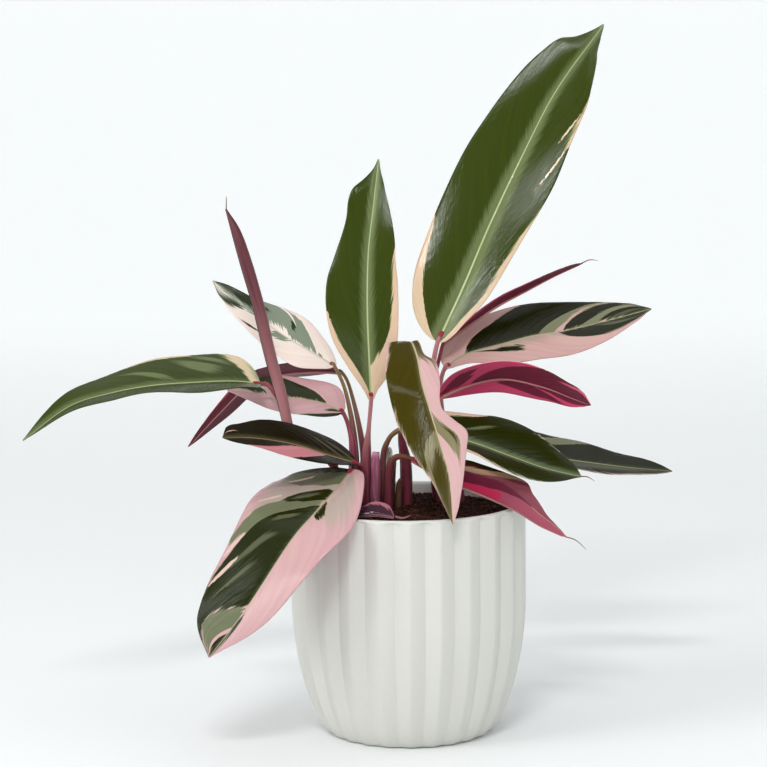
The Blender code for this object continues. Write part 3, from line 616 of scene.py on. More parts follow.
# Sheaths whose blade is gone, and their radius at each point
SHEATHS = {
    "sheath_torn": {
        "route": ((-23, 2, SOIL_TOP), (-23, 2, 180), (-22, 3, 199)), "radii": (3.4, 3.2, 2.4),
    },
    "sheath_dried_left": {
        "route": ((-12, 11, SOIL_TOP), (-11, 11, 175), (-9, 12, 190)), "radii": (2.6, 2.2, 1.4),
    },
    "sheath_dried_right": {
        "route": ((-7, 4, SOIL_TOP), (-6, 3, 172), (-5, 1, 180)), "radii": (2.4, 2.0, 1.2),
    },
}

# The furled blade, and the stalk of the fallen leaf
ROLLED = {
    "route": (
        (-83, -6, 218), (-87, -4, 237), (-93, 0, 258), (-99, 4, 284),
        (-104, 8, 304), (-111, 12, 329), (-118, 16, 351), (-125, 20, 367),
    ),
    "radii": (3.6, 4.0, 4.2, 4.3, 4.3, 4.4, 3.4, 0.6),
}
FALLEN_STALK = {
    "route": ((-9, -43.5, 159.2), (-4, -45, 158.4), (1, -47, 160.5)),
    "radii": (0.9, 0.8, 0.6),
}

# Blade colours. green and deep are the two shades of the chlorophyll-rich tissue, silver its
# feathering and the painted highlights of the silver zones, grey the thin layer of green over
# white tissue and mist a thinner one, cream and pink the white tissue without and with red
# pigment, and rib its midrib. Plum and rose are the dark and the bright red of the underside,
# and flame is a still brighter one.
PALETTES = {
    "sunlit": {
        "green": "#384400", "deep": "#273100", "silver_and_glint": "#7f8c5e", "grey": "#74825a", "mist": "#a5a890",
        "cream": "#d4c29e", "pink": "#cda48e", "rib": "#a9b482",
        "plum": "#4a1d30", "rose": "#b0506a",
    },
    "deep": {
        "green": "#262f03", "deep": "#1a2102", "silver_and_glint": "#83946c", "grey": "#6c7850", "mist": "#a09c84",
        "cream": "#e0ccae", "pink": "#d0a098", "rib": "#a3b07a",
        "plum": "#451a2b", "rose": "#a84660",
    },
    # A darker copy of the leaf colours, for blades that lie in shade: its dark greens are painted shade.
    "shaded": {
        "green": "#1c1e03", "deep": "#121302", "silver_and_glint": "#6c7154", "grey": "#7b7c60", "mist": "#9c9284",
        "cream": "#cdb5a2", "pink": "#b98a8c", "rib": "#9a9872",
        "plum": "#581b2a", "rose": "#9c3a58",
    },
    # Darker still, for the dark blade: its near-black greens are painted shade; its hot pink is its own.
    "dusky": {
        "green": "#1f1804", "deep": "#140e02", "silver_and_glint": "#6a6248", "grey": "#70684c", "mist": "#8c7c70",
        "cream": "#c9a29c", "pink": "#bb757c", "rib": "#857650",
        "plum": "#42182a", "rose": "#9c3a58",
    },
    "rosy": {
        "green": "#252c04", "deep": "#171b02", "silver_and_glint": "#70765a", "grey": "#5f6249", "mist": "#a2988a",
        "cream": "#ceb3a6", "pink": "#bd8f96", "rib": "#aa9c80",
        "plum": "#4b1c2e", "rose": "#b5406a",
    },
    "olive": {
        "green": "#483f0e", "deep": "#332e0b", "silver_and_glint": "#857d5e", "grey": "#6f6a4c", "mist": "#a69c8c",
        "cream": "#ceb3a6", "pink": "#c0959a", "rib": "#b0a284",
        "plum": "#4b1c2e", "rose": "#b5406a",
    },
    "wine": {
        "green": "#303a06", "deep": "#212604", "silver_and_glint": "#83896c", "grey": "#75765a", "mist": "#a69c8c",
        "cream": "#e0c7b8", "pink": "#d0939c", "rib": "#b08a80",
        "plum": "#6c2338", "rose": "#c4456a", "flame": "#d96480",
    },
    "cream": {
        "green": "#26300c", "deep": "#1a2106", "silver_and_glint": "#7f8b78", "grey": "#717d69", "mist": "#b3aea2",
        "cream": "#e6dbcf", "pink": "#dcbdb6", "rib": "#bfb8a4",
        "plum": "#4a1d30", "rose": "#b5607a",
    },
    "tan": {
        "green": "#3a2a14", "deep": "#2a1c0c", "silver_and_glint": "#9a5660", "grey": "#823c4b", "mist": "#8c7068",
        "cream": "#c4a67c", "pink": "#b08a6c", "rib": "#a08060",
        "plum": "#6a2236", "rose": "#a24c60", "flame": "#c83058",
    },
    "withered": {
        "green": "#4f2a38", "deep": "#3c1f2c", "silver_and_glint": "#7c5c68", "grey": "#704e5c", "mist": "#7c5c68",
        "cream": "#b98c96", "pink": "#bb7080", "rib": "#8a5a68",
        "plum": "#4a2034", "rose": "#b45872",
    },
}

# The two colours of the streaks in each kind of stalk tissue
PETIOLES = {
    "maroon": ("#722938", "#8f464c"),
    "pink": ("#96545a", "#b57f7c"),
    "olive": ("#6b5433", "#8d744b"),
    "brown": ("#5a3226", "#83523f"),
}

# Threads that dried leaf tips keep: from, to
DRIED_TIPS = {
    "right_lower": ((117.5, -43.8, 186), (127, -46, 183)),
    "folded": ((105.5, -69.8, 149.2), (119, -73, 141)),
    "thin": ((127.5, 65.8, 323), (139, 68, 324.5)),
    "rolled": ((-124.8, 19.9, 366.5), (-124.5, 21, 376)),
}

# Each lamp, in metres: its name, its place, what it points at, its size, its power in watts
LIGHTS = (
    ("key softbox", (-0.28, -1.75, 1.84), (0, 0, 0.3), (0.6, 0.18), 20.0),
    ("left softbox", (-2.1, -1.0, 1.2), (0, 0, 0.2), (0.9, 1.5), 23.0),
    ("small left lamp", (-1.5, -1.4, 1.75), (0, 0, 0.2), (0.3, 0.3), 1.2),
    ("right softbox", (1.9, -0.8, 1.1), (0, 0, 0.25), (0.7, 1.4), 4.0),
    ("low front fill", (0.35, -1.9, 0.3), (0, 0, 0.1), (1.2, 0.35), 4.0),
    ("overhead softbox", (0.1, 0.2, 2.4), (0, 0, 0.2), (2.4, 2.4), 11.0),
)

# The studio, in metres. The camera stands where the photograph was taken from.
CAMERA_PLACE = (-0.0162, -1.680, 0.462)
CAMERA_DIP = math.radians(7.34)
CAMERA_ROLL = math.radians(0.6)
LENS = 114.1
FLOOR_RADIUS = 3.0  # from the middle to where the floor starts to sweep up
SWEEP_RADIUS = 1.4
WALL_HEIGHT = 1.2
GLOW_FROM = 0.3  # behind the pot's axis, where the paper's painted glow starts
GLOW_TO = 3.0
GLOW_STRENGTH = 0.33  # how brightly the paper glows at its fullest: painted light, not a lamp

# The pot
BELLY_HEIGHT = 90.0  # the wall is upright above this height
BELLY_POWER = 1.7  # 2 would be an ellipse, 1 a straight cone
WALL = 6.0
FLOOR = 6.0
LIP_ROUND = 2.2  # height over which the lip is rounded
BELLY_START = 0.12  # angle in radians, on the belly's curve, where the wall leaves the foot
BELLY_ROWS = 30
WALL_ROWS = 24  # rows of faces up the upright wall, and down its inside
LIP_ROWS = 12
RIB_STEPS = 20  # columns of faces across one rib
RIB_FLANKS = 0.75  # 0 makes each rib a half cosine wave, 1 makes it two straight flanks
RIBS_AT_FOOT = 0.5  # share of their depth that the ribs still have at the foot
RIBS_END = 3.0  # height below the lip over which the ribs run out,
RIBS_END_POWER = 0.6  # late and quickly where this is under 1
FOOT_HOLLOW = 1.2
FOOT_RING = ((7, FOOT_HOLLOW), (5, 0), (1.5, 0), (0.4, 0.3))  # (distance in from the foot's edge, height)
SHARP_EDGE = 38.0  # degrees from which two faces meet in a crease
GLAZE_RIPPLE = 35.71  # spacing of the glaze's unevenness
GLAZE_SPECK = 2.381  # spacing of the faint specks in it
GLAZE_ROUGHNESS = (0.34, 0.44)
GLAZE_WAVE = 0.0004  # depth of its unevenness in metres

# The soil
SOIL_EDGE = 154.0  # height where it meets the wall
SOIL_FLAT = 62.0  # radius of its level middle
GAP = 0.3  # clearance between touching pieces
LUMPS = 14  # waves of different lengths that make the surface lumpy
LUMP_SIZE = (5.0, 2.2)  # length of the shortest wave, and by how much each next one is longer
LUMP_HEIGHT = 0.16
LUMP_BEND = 1.3  # how far a wave's crests wind, in radians
CRUMB_SHAPES = ((0.35, 0.3, 0.25), (1.5, 1.1, 0.8))  # the least and the most, in crumb sizes
FIBRE_LENGTHS = (0.3, 1.3)  # the least and the most, as shares of the fibre length
FIBRE_TILT = (0.5, 0.35)  # how far a fibre rolls and tips at most, in radians
LUMP_SEED = 4
CRUMB_SEED = 7
FIBRE_SEED = 11
TOP_ROWS = 56  # rows of faces from the middle of the soil to its edge, and down the side
SIDE_ROWS = 14
BED_COLUMNS = 120
CRUMB_GRAIN = 3.846  # spacing of the lighter grains in the crumbs, and of the shades of the fibres
HUSK_GRAIN = 11.11
COIR_DEPTH = 0.001  # of its roughness, in metres

# The blades
OUTLINE_START = (0, 0.9, 0.9)  # every blade's outline starts and ends this narrow
OUTLINE_END = (1, 0.4, 0.4)
FAR = 12.0  # a zone's depth is never read beyond this
OPEN_VEIN = -0.3  # a zone that starts at or before this vein takes in the whole base
ALONG_VEIN = 0.55  # depth gained per mm along a vein, so that ends there are more ragged
HEADING_STEP = 0.02  # share of the midrib over which its direction is taken
CROWDING = 0.75  # how much closer the rows of a blade are at its ends
ROW_STEP = 1.25
BLADE_ROWS = (24, 230)  # fewest and most rows of faces along a blade
NARROW_COLUMNS = 24
WIDE_COLUMNS = 40
WIDE = 14.0  # half width above which a blade is wide
VEIN_LEAN = 0.3  # how far the veins run forward to the edge, as a share of the midrib
VEIN_START = 0.7  # how much of that lean grows evenly towards the edge,
VEIN_SWEEP = 0.5  # and how much grows with the square, so that the veins curve forward
RIPPLE_FADES = 12.0  # the ripple is lower where the half width is under this
PLEAT = 9.0  # spacing of the shallow pleats, where the lateral veins leave the midrib
PLEAT_HEIGHT = 0.09
PLEATS_FADE = 0.6  # share of their height that the pleats lose towards the edge
FURROW = 0.35  # depth of the groove over the midrib
FURROW_WIDTH = 1.4
MIDRIB_FADES = 6.0  # the groove and the pleats are lower nearer the midrib or tip than this
PALE_LINE = 0.75  # half width of the pale line over the midrib at its base
PALE_LINE_TAPER = 0.6
LEAF_WAX = 1.31  # index of refraction: thin, uneven wax mirrors less of a white room than glass would
WORN_WAX = 1.12  # the same for the two blades that have lost their shine
FINE_VEIN = 2.6  # spacing of the finest veins, drawn about twice as coarse as they are
WAX_ROUGHNESS = (0.05, 0.14)
LEAF_GRAIN = 0.0005  # depth in metres of the grain that breaks up the gleams
VEIN_RIDGE = 0.00015  # height in metres of the finest veins, on the underside
UNDER_RIB_COLOUR = "#a85a6c"
RIB_SHARE = 0.9  # radius of the raised rib, as a share of its stalk's
FALLEN_RIB_SHARE = 0.8
RIB_END = 0.97  # share of the midrib where the raised rib below it ends
RIB_TAPER = 0.82
RIB_STANDS_OFF = 0.1

# The noises over a blade: how wide their streaks are across the veins, and how long along them
LEAF_NOISES = {"ragged": (2.381, 28.57), "fine": (1.111, 20.0), "broad": (8.333, 33.33)}
# How a blade's pattern is drawn. Each part is the deepest of some zones, and a noise shakes
# each of them in and out over so many mm. The last number is the mm over which the part
# fades on either side of its edge.
PATTERN = {
    "green": ([("green", "ragged", 6.0)], 0.16),
    "grey": ([("grey", "ragged", 7.0), ("green", "fine", 5.0), ("green", "broad", 9.0)], 0.2),
    "pale": ([("pale", "fine", 2.0)], 0.16),
    # silver: the painted highlights, pale streaks where the wax gleams
    "silver_and_glint": ([("silver_and_glint", "fine", 6.0)], 1.0),
    "veil": ([("veil", "broad", 6.0)], 2.5),
    "feather": ([("feather", "fine", 9.0)], 2.2),
    "rib": ([("rib", "fine", 0.0)], 0.16),
}
BLOTCHES = 0.9  # how much the pink of the pale parts varies
VEIL_SHARE = 0.8  # how much of its own colour each thin layer shows
# how much the painted highlights of the silver zones show over the green
SILVER_AND_GLINT_SHARE = 0.5
FEATHER_SHARE = 0.55

# Tubes along a route
TUBE_STEP = 0.01  # share of the route over which its direction is taken
TUBE_SEAM = (0.35, 0.9, 0.25)  # the seam starts square to this direction and to the route

# The stalks
UNDER_BLADE = (0.0, 0.04)  # shares of an open blade's midrib under which its stalk runs on
UNDER_FURLED = (0.0, 0.02)
BLADE_OVER = 0.5  # how far over the stalk's route the midrib lies, in radii of the stalk's end
STALK_SIDES = 20
SHEATH_WRAP = 0.2  # how much wider the free edge of a wrapping sheath lies
SHEATH_ENDS = (0.25, 0.5)  # the sheath's edge runs out between these shares of the stalk
RIDGES = 5  # shallow ridges round a stalk
RIDGE_HEIGHT = 0.05
SWOLLEN = 9.0  # length of the swollen joint under a blade
SWELLING = 0.22  # how much thicker it is
JOINT_START = 1.9  # this and the next three are in lengths of that joint, down from the stalk's end
JOINT_COLOURED = 1.5
JOINT_FULL = 1.3
NECK_START = 0.5
NECK = 0.1  # how much thinner the stalk is again where it meets its blade
FOOT_COLOUR = 0.8  # strength of the foot's colour
FOOT_COLOUR_ENDS = (0.2, 0.55)
STALK_STEP = 1.2
STALK_ROWS = (20, 140)
GIRTH = 4 * math.pi  # a stalk's usual girth
STREAK_WIDTH = 0.5236
DRIED_STREAK_WIDTH = 0.7854
STREAK_LENGTHS = 2.5  # streaks to the length of a stalk
STREAK_DEPTH = 0.0003  # in metres

# The furled blade: the share of its radii at its inner edge, and how much more at its free edge
FURLED_INNER = 0.86
FURLED_STEP = 0.26
FURLED_WAVE = 0.05  # and by how much it waves in and out of that, less towards the tip
FURLED_WAVES = 3  # waves along it
FURLED_EDGE = (0.9, 0.99)  # shares of a turn between which the free edge takes its colour
FURLED_FOOT = 0.9  # strength of the foot's colour
FURLED_FOOT_ENDS = (0.1, 0.7)

# The sheaths whose blade is gone
CREASES = ((0.1, 3, 4), (0.06, 7, 0))  # (depth, how many round it, radians they shift along it)
CREASED_INNER = 0.9  # share of its radii at its inner edge
TORN_COLOUR_ENDS = (0.8, 1.0)  # shares of its length between which the torn end takes its colour
TEETH = 9  # number of teeth round the torn edge
TOOTH = 3.5  # the longest that a tooth can be
SHORTEST_TOOTH = 0.3  # as a share of that
TORN = 5.0  # length of the torn end

# The threads of dried tips, and their radius at each point
TIP_RADII = (0.45, 0.35, 0.15)
TIP_BEND = 0.12  # rise of the middle as a share of the length


def linear(code):
    """An sRGB hex colour as linear red, green, blue and a full alpha."""
    parts = [int(code[i:i + 2], 16) / 255 for i in (1, 3, 5)]
    return (*(c / 12.92 if c <= 0.04045 else ((c + 0.055) / 1.055) ** 2.4 for c in parts), 1.0)


def through(points, shares):
    """Rows of points at these shares of the smooth curve through the given points."""
    given = np.array(points, dtype=float).reshape(len(points), -1)
    ends = np.vstack((2 * given[0] - given[1], given, 2 * given[-1] - given[-2]))
    place = np.clip(shares, 0, 1) * (len(given) - 1)
    first = np.minimum(place.astype(int), len(given) - 2)
    t = (place - first)[:, None]
    p0, p1, p2, p3 = (ends[first + k] for k in range(4))
    square = (p0 * 2 - p1 * 5 + p2 * 4 - p3) * t**2
    cube = (p1 * 3 - p0 - p2 * 3 + p3) * t**3
    return (p1 * 2 + (p2 - p0) * t + square + cube) / 2


def eased(stations, values, shares):
    """Values between the stations, by a cubic that keeps each station's mean slope."""
    x, y = np.array(stations, dtype=float), np.array(values, dtype=float)
    low = np.maximum(np.arange(len(x)) - 1, 0)
    high = np.minimum(np.arange(len(x)) + 1, len(x) - 1)
    slope = (y[high] - y[low]) / (x[high] - x[low])
    k = np.clip(np.searchsorted(x, shares, side="right") - 1, 0, len(x) - 2)
    span = x[k + 1] - x[k]
    t = (shares - x[k]) / span
    rise = y[k + 1] - y[k]
    a, b = slope[k] * span, slope[k + 1] * span
    return y[k] + a * t + (3 * rise - 2 * a - b) * t**2 + (a + b - 2 * rise) * t**3


def length_of(points):
    """The length of a line through these points."""
    return np.linalg.norm(np.diff(points, axis=0), axis=1).sum()


def turned(profile, across, along):
    """Points on what a profile of (radius, height) sweeps out, and their rows in the profile."""
    row = np.rint(along * (len(profile) - 1)).astype(int)
    radius, turn = profile[row, 0], across * 2 * np.pi
    return np.stack((radius * np.cos(turn), radius * np.sin(turn), profile[row, 1]), axis=1), row


def unit(rows):
    """Rows of vectors at length 1."""
    return rows / np.linalg.norm(rows, axis=1)[:, None]


def smooth(values, low, high):
    """0 below low, 1 above high and an even step between."""
    t = np.clip((values - low) / (high - low), 0, 1)
    return t * t * (3 - 2 * t)


def surface_mesh(name, columns, rows, place, seam=False):
    """A mesh made of a grid.

    place turns its shares across and along into points in mm and a dict of measures to
    store at them. With a seam its two sides meet, as in a tube, and are welded.
    """
    mesh = bpy.data.meshes.new(name)
    shape = bmesh.new()
    shape.loops.layers.uv.new("UVMap")
    bmesh.ops.create_grid(shape, x_segments=columns, y_segments=rows, size=0.5, calc_uvs=True)
    shape.to_mesh(mesh)
    shape.free()
    flat = np.empty(len(mesh.vertices) * 3, dtype=np.float32)
    mesh.vertices.foreach_get("co", flat)
    across, along, _ = flat.reshape(-1, 3).T.astype(float) + 0.5
    points, measures = place(across, along)
    mesh.vertices.foreach_set("co", (points * MM).astype(np.float32).ravel())
    for key, values in measures.items():
        kind, field = ("FLOAT", "value") if values.ndim == 1 else ("FLOAT_VECTOR", "vector")
        layer = mesh.attributes.new(key, kind, "POINT")
        layer.data.foreach_set(field, values.astype(np.float32).ravel())
    if seam:
        shape = bmesh.new()
        shape.from_mesh(mesh)
        bmesh.ops.remove_doubles(shape, verts=shape.verts, dist=1e-6)
        bmesh.ops.holes_fill(shape, edges=[edge for edge in shape.edges if edge.is_boundary], sides=0)
        bmesh.ops.recalc_face_normals(shape, faces=shape.faces)
        shape.to_mesh(mesh)
        shape.free()
    mesh.shade_smooth()
    return mesh


def new_object(name, mesh, *materials):
    """Links a new object at the origin, with its materials."""
    made = bpy.data.objects.new(name, mesh)
    collection = bpy.data.collections.get(PLANT)
    if collection is None:
        collection = bpy.data.collections.new(PLANT)
        bpy.context.scene.collection.children.link(collection)
    collection.objects.link(made)
    for material in materials:
        mesh.materials.append(material)
    return made


def made_plain(made):
    """Turns an object's modifiers into its plain mesh."""
    evaluated = made.evaluated_get(bpy.context.evaluated_depsgraph_get())
    mesh = bpy.data.meshes.new_from_object(evaluated)
    made.modifiers.clear()
    rough, made.data = made.data, mesh
    bpy.data.meshes.remove(rough)
    return made


def joined(parts):
    """Joins objects to the first of them."""
    with bpy.context.temp_override(active_object=parts[0], object=parts[0], selected_editable_objects=parts):
        bpy.ops.object.join()
    return parts[0]


def stands_for(made, node):
    """Puts a finished piece on the body in place of its CAD node."""
    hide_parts(node)
    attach(made, BODY)


def add_node(tree, kind, inputs=None, **settings):
    """Adds a node; each input's name or number goes with a value, a node or one of its outputs."""
    node = tree.nodes.new(kind)
    for name, value in settings.items():
        setattr(node, name, value)
    for name, value in (inputs or {}).items():
        source = value.outputs[0] if isinstance(value, bpy.types.Node) else value
        if isinstance(source, bpy.types.NodeSocket):
            tree.links.new(source, node.inputs[name])
        else:
            node.inputs[name].default_value = source
    return node


def new_material(name):
    """An empty material, with its node tree."""
    material = bpy.data.materials.new(name)
    material.use_nodes = True
    material.node_tree.nodes.clear()
    return material, material.node_tree


def end_material(material, finish):
    """Ends a material in one shader with this finish."""
    shader = add_node(material.node_tree, "ShaderNodeBsdfPrincipled", finish)
    add_node(material.node_tree, "ShaderNodeOutputMaterial", {"Surface": shader})
    return material


def leaf_masks(tree):
    """The parts of a blade's pattern as outputs from 0 to 1, with the vein coordinate.

    Each zone's depth is shaken by a noise that is long along the lateral veins and narrow
    across them, so that a patch ends in streaks, vein by vein.
    """
    vein, left, right, lines = (
        add_node(tree, "ShaderNodeAttribute", attribute_name=name).outputs["Vector"]
        for name in ("vein", "left_zones", "right_zones", "lines")
    )
    depths = {}
    along, reach, depths["silver_and_glint"] = add_node(tree, "ShaderNodeSeparateXYZ", {0: vein}).outputs
    on_right = add_node(tree, "ShaderNodeMath", {0: reach, 1: 0.0}, operation="GREATER_THAN")
    zones = add_node(tree, "ShaderNodeMix", {"Factor": on_right, 4: left, 5: right}, data_type="VECTOR")
    for names, three in ((("green", "grey", "pale"), zones.outputs[1]), (("rib", "feather", "veil"), lines)):
        depths.update(zip(names, add_node(tree, "ShaderNodeSeparateXYZ", {0: three}).outputs))
    masks = {"vein": along}
    for name, (width, length) in LEAF_NOISES.items():
        stretch = {"Vector": vein, "Scale": (1 / width, 1 / length, 0.0)}
        spread = add_node(tree, "ShaderNodeMapping", stretch)
        grain = {"Vector": spread, "Scale": 1.0, "Detail": 3.0, "Roughness": 0.6}
        masks[name] = add_node(tree, "ShaderNodeTexNoise", grain)
    for name, (parts, soft) in PATTERN.items():
        deepest = None
        for zone, noise, amount in parts:
            offset = {0: masks[noise], 1: amount, 2: -0.5 * amount}
            shift = add_node(tree, "ShaderNodeMath", offset, operation="MULTIPLY_ADD")
            shaken = add_node(tree, "ShaderNodeMath", {0: depths[zone], 1: shift}, operation="ADD")
            if deepest:
                shaken = add_node(tree, "ShaderNodeMath", {0: deepest, 1: shaken}, operation="MAXIMUM")
            deepest = shaken
        limits = {"Value": deepest, "From Min": -soft, "From Max": soft}
        masks[name] = add_node(tree, "ShaderNodeMapRange", limits)
    return masks


def painted(tree, ground, layers):
    """Colours laid over a ground in turn, each where its mask is 1."""
    for mask, colour in layers:
        both = {"Factor": mask, 6: ground, 7: colour}
        ground = add_node(tree, "ShaderNodeMix", both, data_type="RGBA").outputs[2]
    return ground


def toned(tree, colour, factor, low, high):
    """A colour made darker and lighter between two strengths by a factor from 0 to 1."""
    strength = add_node(tree, "ShaderNodeMapRange", {"Value": factor, "To Min": low, "To Max": high})
    both = {"Factor": 1.0, 6: colour, 7: strength}
    return add_node(tree, "ShaderNodeMix", both, data_type="RGBA", blend_type="MULTIPLY").outputs[2]


def vein_wave(tree, vein):
    """The fine veins' ridges, from 0 to 1."""
    turn = add_node(tree, "ShaderNodeMath", {0: vein, 1: 2 * math.pi / FINE_VEIN}, operation="MULTIPLY")
    wave = add_node(tree, "ShaderNodeMath", {0: turn}, operation="SINE")
    return add_node(tree, "ShaderNodeMapRange", {"Value": wave, "From Min": -1.0})


def upper_side(palette, colours):
    """Living leaf, upper side: a thin waxy skin, so it shines softly where its grain lets it; its silver
    zones are painted highlights.
    """
    material, tree = new_material(palette + " leaf upper side")
    masks = leaf_masks(tree)
    tissue = {tone: linear(code) for tone, code in colours.items()}
    blush = add_node(tree, "ShaderNodeAttribute", attribute_name="blush").outputs["Fac"]
    blotches = {0: masks["broad"], 1: BLOTCHES, 2: -BLOTCHES / 2}
    uneven = add_node(tree, "ShaderNodeMath", blotches, operation="MULTIPLY_ADD")
    pinkness = add_node(tree, "ShaderNodeMath", {0: blush, 1: uneven}, operation="ADD", use_clamp=True)
    thin = add_node(tree, "ShaderNodeMath", {0: masks["veil"], 1: VEIL_SHARE}, operation="MULTIPLY")
    on_green = []
    # the silver zones paint highlights over the green; the feather is the leaf's own silvering
    for name, share in (("silver_and_glint", SILVER_AND_GLINT_SHARE), ("feather", FEATHER_SHARE)):
        both = {0: masks[name], 1: masks["green"]}
        there = add_node(tree, "ShaderNodeMath", both, operation="MULTIPLY")
        on_green.append(add_node(tree, "ShaderNodeMath", {0: there, 1: share}, operation="MULTIPLY"))
    pattern = painted(tree, painted(tree, tissue["cream"], [(pinkness, tissue["pink"])]), [
        (thin, tissue["mist"]),
        (masks["grey"], painted(tree, tissue["grey"], [(masks["fine"], tissue["silver_and_glint"])])),
        (masks["green"], painted(tree, tissue["deep"], [(masks["ragged"], tissue["green"])])),
        *((faint, tissue["silver_and_glint"]) for faint in on_green),
        (masks["pale"], tissue["cream"]),
        (masks["rib"], tissue["rib"]),
    ])
    polish = {"Value": masks["fine"], "To Min": WAX_ROUGHNESS[0], "To Max": WAX_ROUGHNESS[1]}
    grain = {"Strength": 0.4, "Distance": LEAF_GRAIN, "Height": masks["ragged"]}
    return end_material(material, {
        "Base Color": toned(tree, pattern, vein_wave(tree, masks["vein"]), 0.95, 1.02),
        "Roughness": add_node(tree, "ShaderNodeMapRange", polish),
        "Normal": add_node(tree, "ShaderNodeBump", grain),
        "IOR": WORN_WAX if palette in ("dusky", "olive") else LEAF_WAX,
    })


def under_side(palette, colours):
    """Living leaf, underside: duller than the top, wine red below the green and rose elsewhere."""
    material, tree = new_material(palette + " leaf underside")
    masks = leaf_masks(tree)
    plum, rose = linear(colours["plum"]), linear(colours["rose"])
    pattern = painted(tree, rose, [
        (masks["grey"], plum),
        (masks["green"], plum),
        (masks["pale"], linear(colours.get("flame", colours["rose"]))),
        (masks["rib"], linear(UNDER_RIB_COLOUR)),
    ])
    ridges = {"Strength": 0.2, "Distance": VEIN_RIDGE, "Height": vein_wave(tree, masks["vein"])}
    return end_material(material, {
        "Base Color": toned(tree, pattern, masks["fine"], 0.75, 1.2),
        "Roughness": 0.42,
        "Normal": add_node(tree, "ShaderNodeBump", ridges),
        "IOR": LEAF_WAX,
    })


def fibrous(name, low, high, end, foot, roughness, width=STREAK_WIDTH):
    """Stalk and sheath tissue: streaked along its fibres, with other colours at its two ends."""
    material, tree = new_material(name)
    place = add_node(tree, "ShaderNodeUVMap", uv_map="UVMap")
    fibres = {"Vector": place, "Scale": (GIRTH / width, STREAK_LENGTHS, 1.0)}
    drawn_out = add_node(tree, "ShaderNodeMapping", fibres)
    grain = {"Vector": drawn_out, "Scale": 1.0, "Detail": 3.0, "Roughness": 0.6}
    noise = add_node(tree, "ShaderNodeTexNoise", grain)
    streaks = add_node(tree, "ShaderNodeMapRange", {"Value": noise, "From Min": 0.35, "From Max": 0.65})
    sheathed, upper_end = (
        add_node(tree, "ShaderNodeAttribute", attribute_name=key).outputs["Fac"]
        for key in ("sheathed", "upper_end")
    )
    layers = [(streaks, linear(high)), (sheathed, linear(foot)), (upper_end, linear(end))]
    grooves = {"Strength": 0.5, "Distance": STREAK_DEPTH, "Height": noise}
    return end_material(material, {
        "Base Color": painted(tree, linear(low), layers),
        "Roughness": roughness,
        "Normal": add_node(tree, "ShaderNodeBump", grooves),
        "IOR": 1.45,
        "Specular IOR Level": 0.25,
    })


def glazed_earthenware(colour):
    """White earthenware in a satin glaze: even and close, with broad soft highlights."""
    material, tree = new_material("satin glazed earthenware")
    place = add_node(tree, "ShaderNodeTexCoord").outputs["Object"]
    ripple, speck = (
        add_node(tree, "ShaderNodeTexNoise", {"Vector": place, "Scale": 1 / (spacing * MM), "Detail": 2.0})
        for spacing in (GLAZE_RIPPLE, GLAZE_SPECK)
    )
    smoothest, roughest = GLAZE_ROUGHNESS
    polish = {"Value": ripple, "From Min": 0.3, "From Max": 0.7, "To Min": smoothest, "To Max": roughest}
    waves = {"Strength": 0.15, "Distance": GLAZE_WAVE, "Height": ripple}
    return end_material(material, {
        "Base Color": toned(tree, (*colour, 1.0), speck, 0.97, 1.02),
        "Roughness": add_node(tree, "ShaderNodeMapRange", polish),
        "Normal": add_node(tree, "ShaderNodeBump", waves),
        "IOR": 1.5,
    })


def coir(name, dark, light, spacing):
    """Damp coir compost: nearly black crumbs with lighter husk among them."""
    material, tree = new_material(name)
    place = add_node(tree, "ShaderNodeTexCoord").outputs["Object"]
    grain = {"Vector": place, "Scale": 1 / (spacing * MM), "Detail": 5.0, "Roughness": 0.7}
    noise = add_node(tree, "ShaderNodeTexNoise", grain)
    husk = add_node(tree, "ShaderNodeMapRange", {"Value": noise, "From Min": 0.42, "From Max": 0.74})
    lumpy = {"Strength": 0.8, "Distance": COIR_DEPTH, "Height": noise}
    return end_material(material, {
        "Base Color": painted(tree, linear(dark), [(husk, linear(light))]),
        "Roughness": 0.85,
        "Normal": add_node(tree, "ShaderNodeBump", lumpy),
        "Specular IOR Level": 0.15,
    })


def studio_paper(colour):
    """Matt background paper, with nothing on it to catch the eye; behind the plant it glows with painted
    light, from no lamp.
    """
    material, tree = new_material("matt background paper")
    place = add_node(tree, "ShaderNodeTexCoord").outputs["Object"]
    _, behind, _ = add_node(tree, "ShaderNodeSeparateXYZ", {0: place}).outputs
    spread = {"Value": behind, "From Min": GLOW_FROM, "From Max": GLOW_TO, "To Max": GLOW_STRENGTH}
    return end_material(material, {
        "Base Color": (*colour, 1.0),
        "Roughness": 0.75,
        "Emission Color": (*colour, 1.0),
        "Emission Strength": add_node(tree, "ShaderNodeMapRange", spread, interpolation_type="SMOOTHSTEP"),
    })


def new_tree(name, **sizes):
    """A geometry node tree with a mesh going in and out and named inputs, and its input node."""
    tree = bpy.data.node_groups.new(name, "GeometryNodeTree")
    tree.interface.new_socket("Geometry", in_out="INPUT", socket_type="NodeSocketGeometry")
    tree.interface.new_socket("Geometry", in_out="OUTPUT", socket_type="NodeSocketGeometry")
    for size, kind in sizes.items():
        tree.interface.new_socket(size.replace("_", " "), in_out="INPUT", socket_type="NodeSocket" + kind)
    return tree, add_node(tree, "NodeGroupInput").outputs


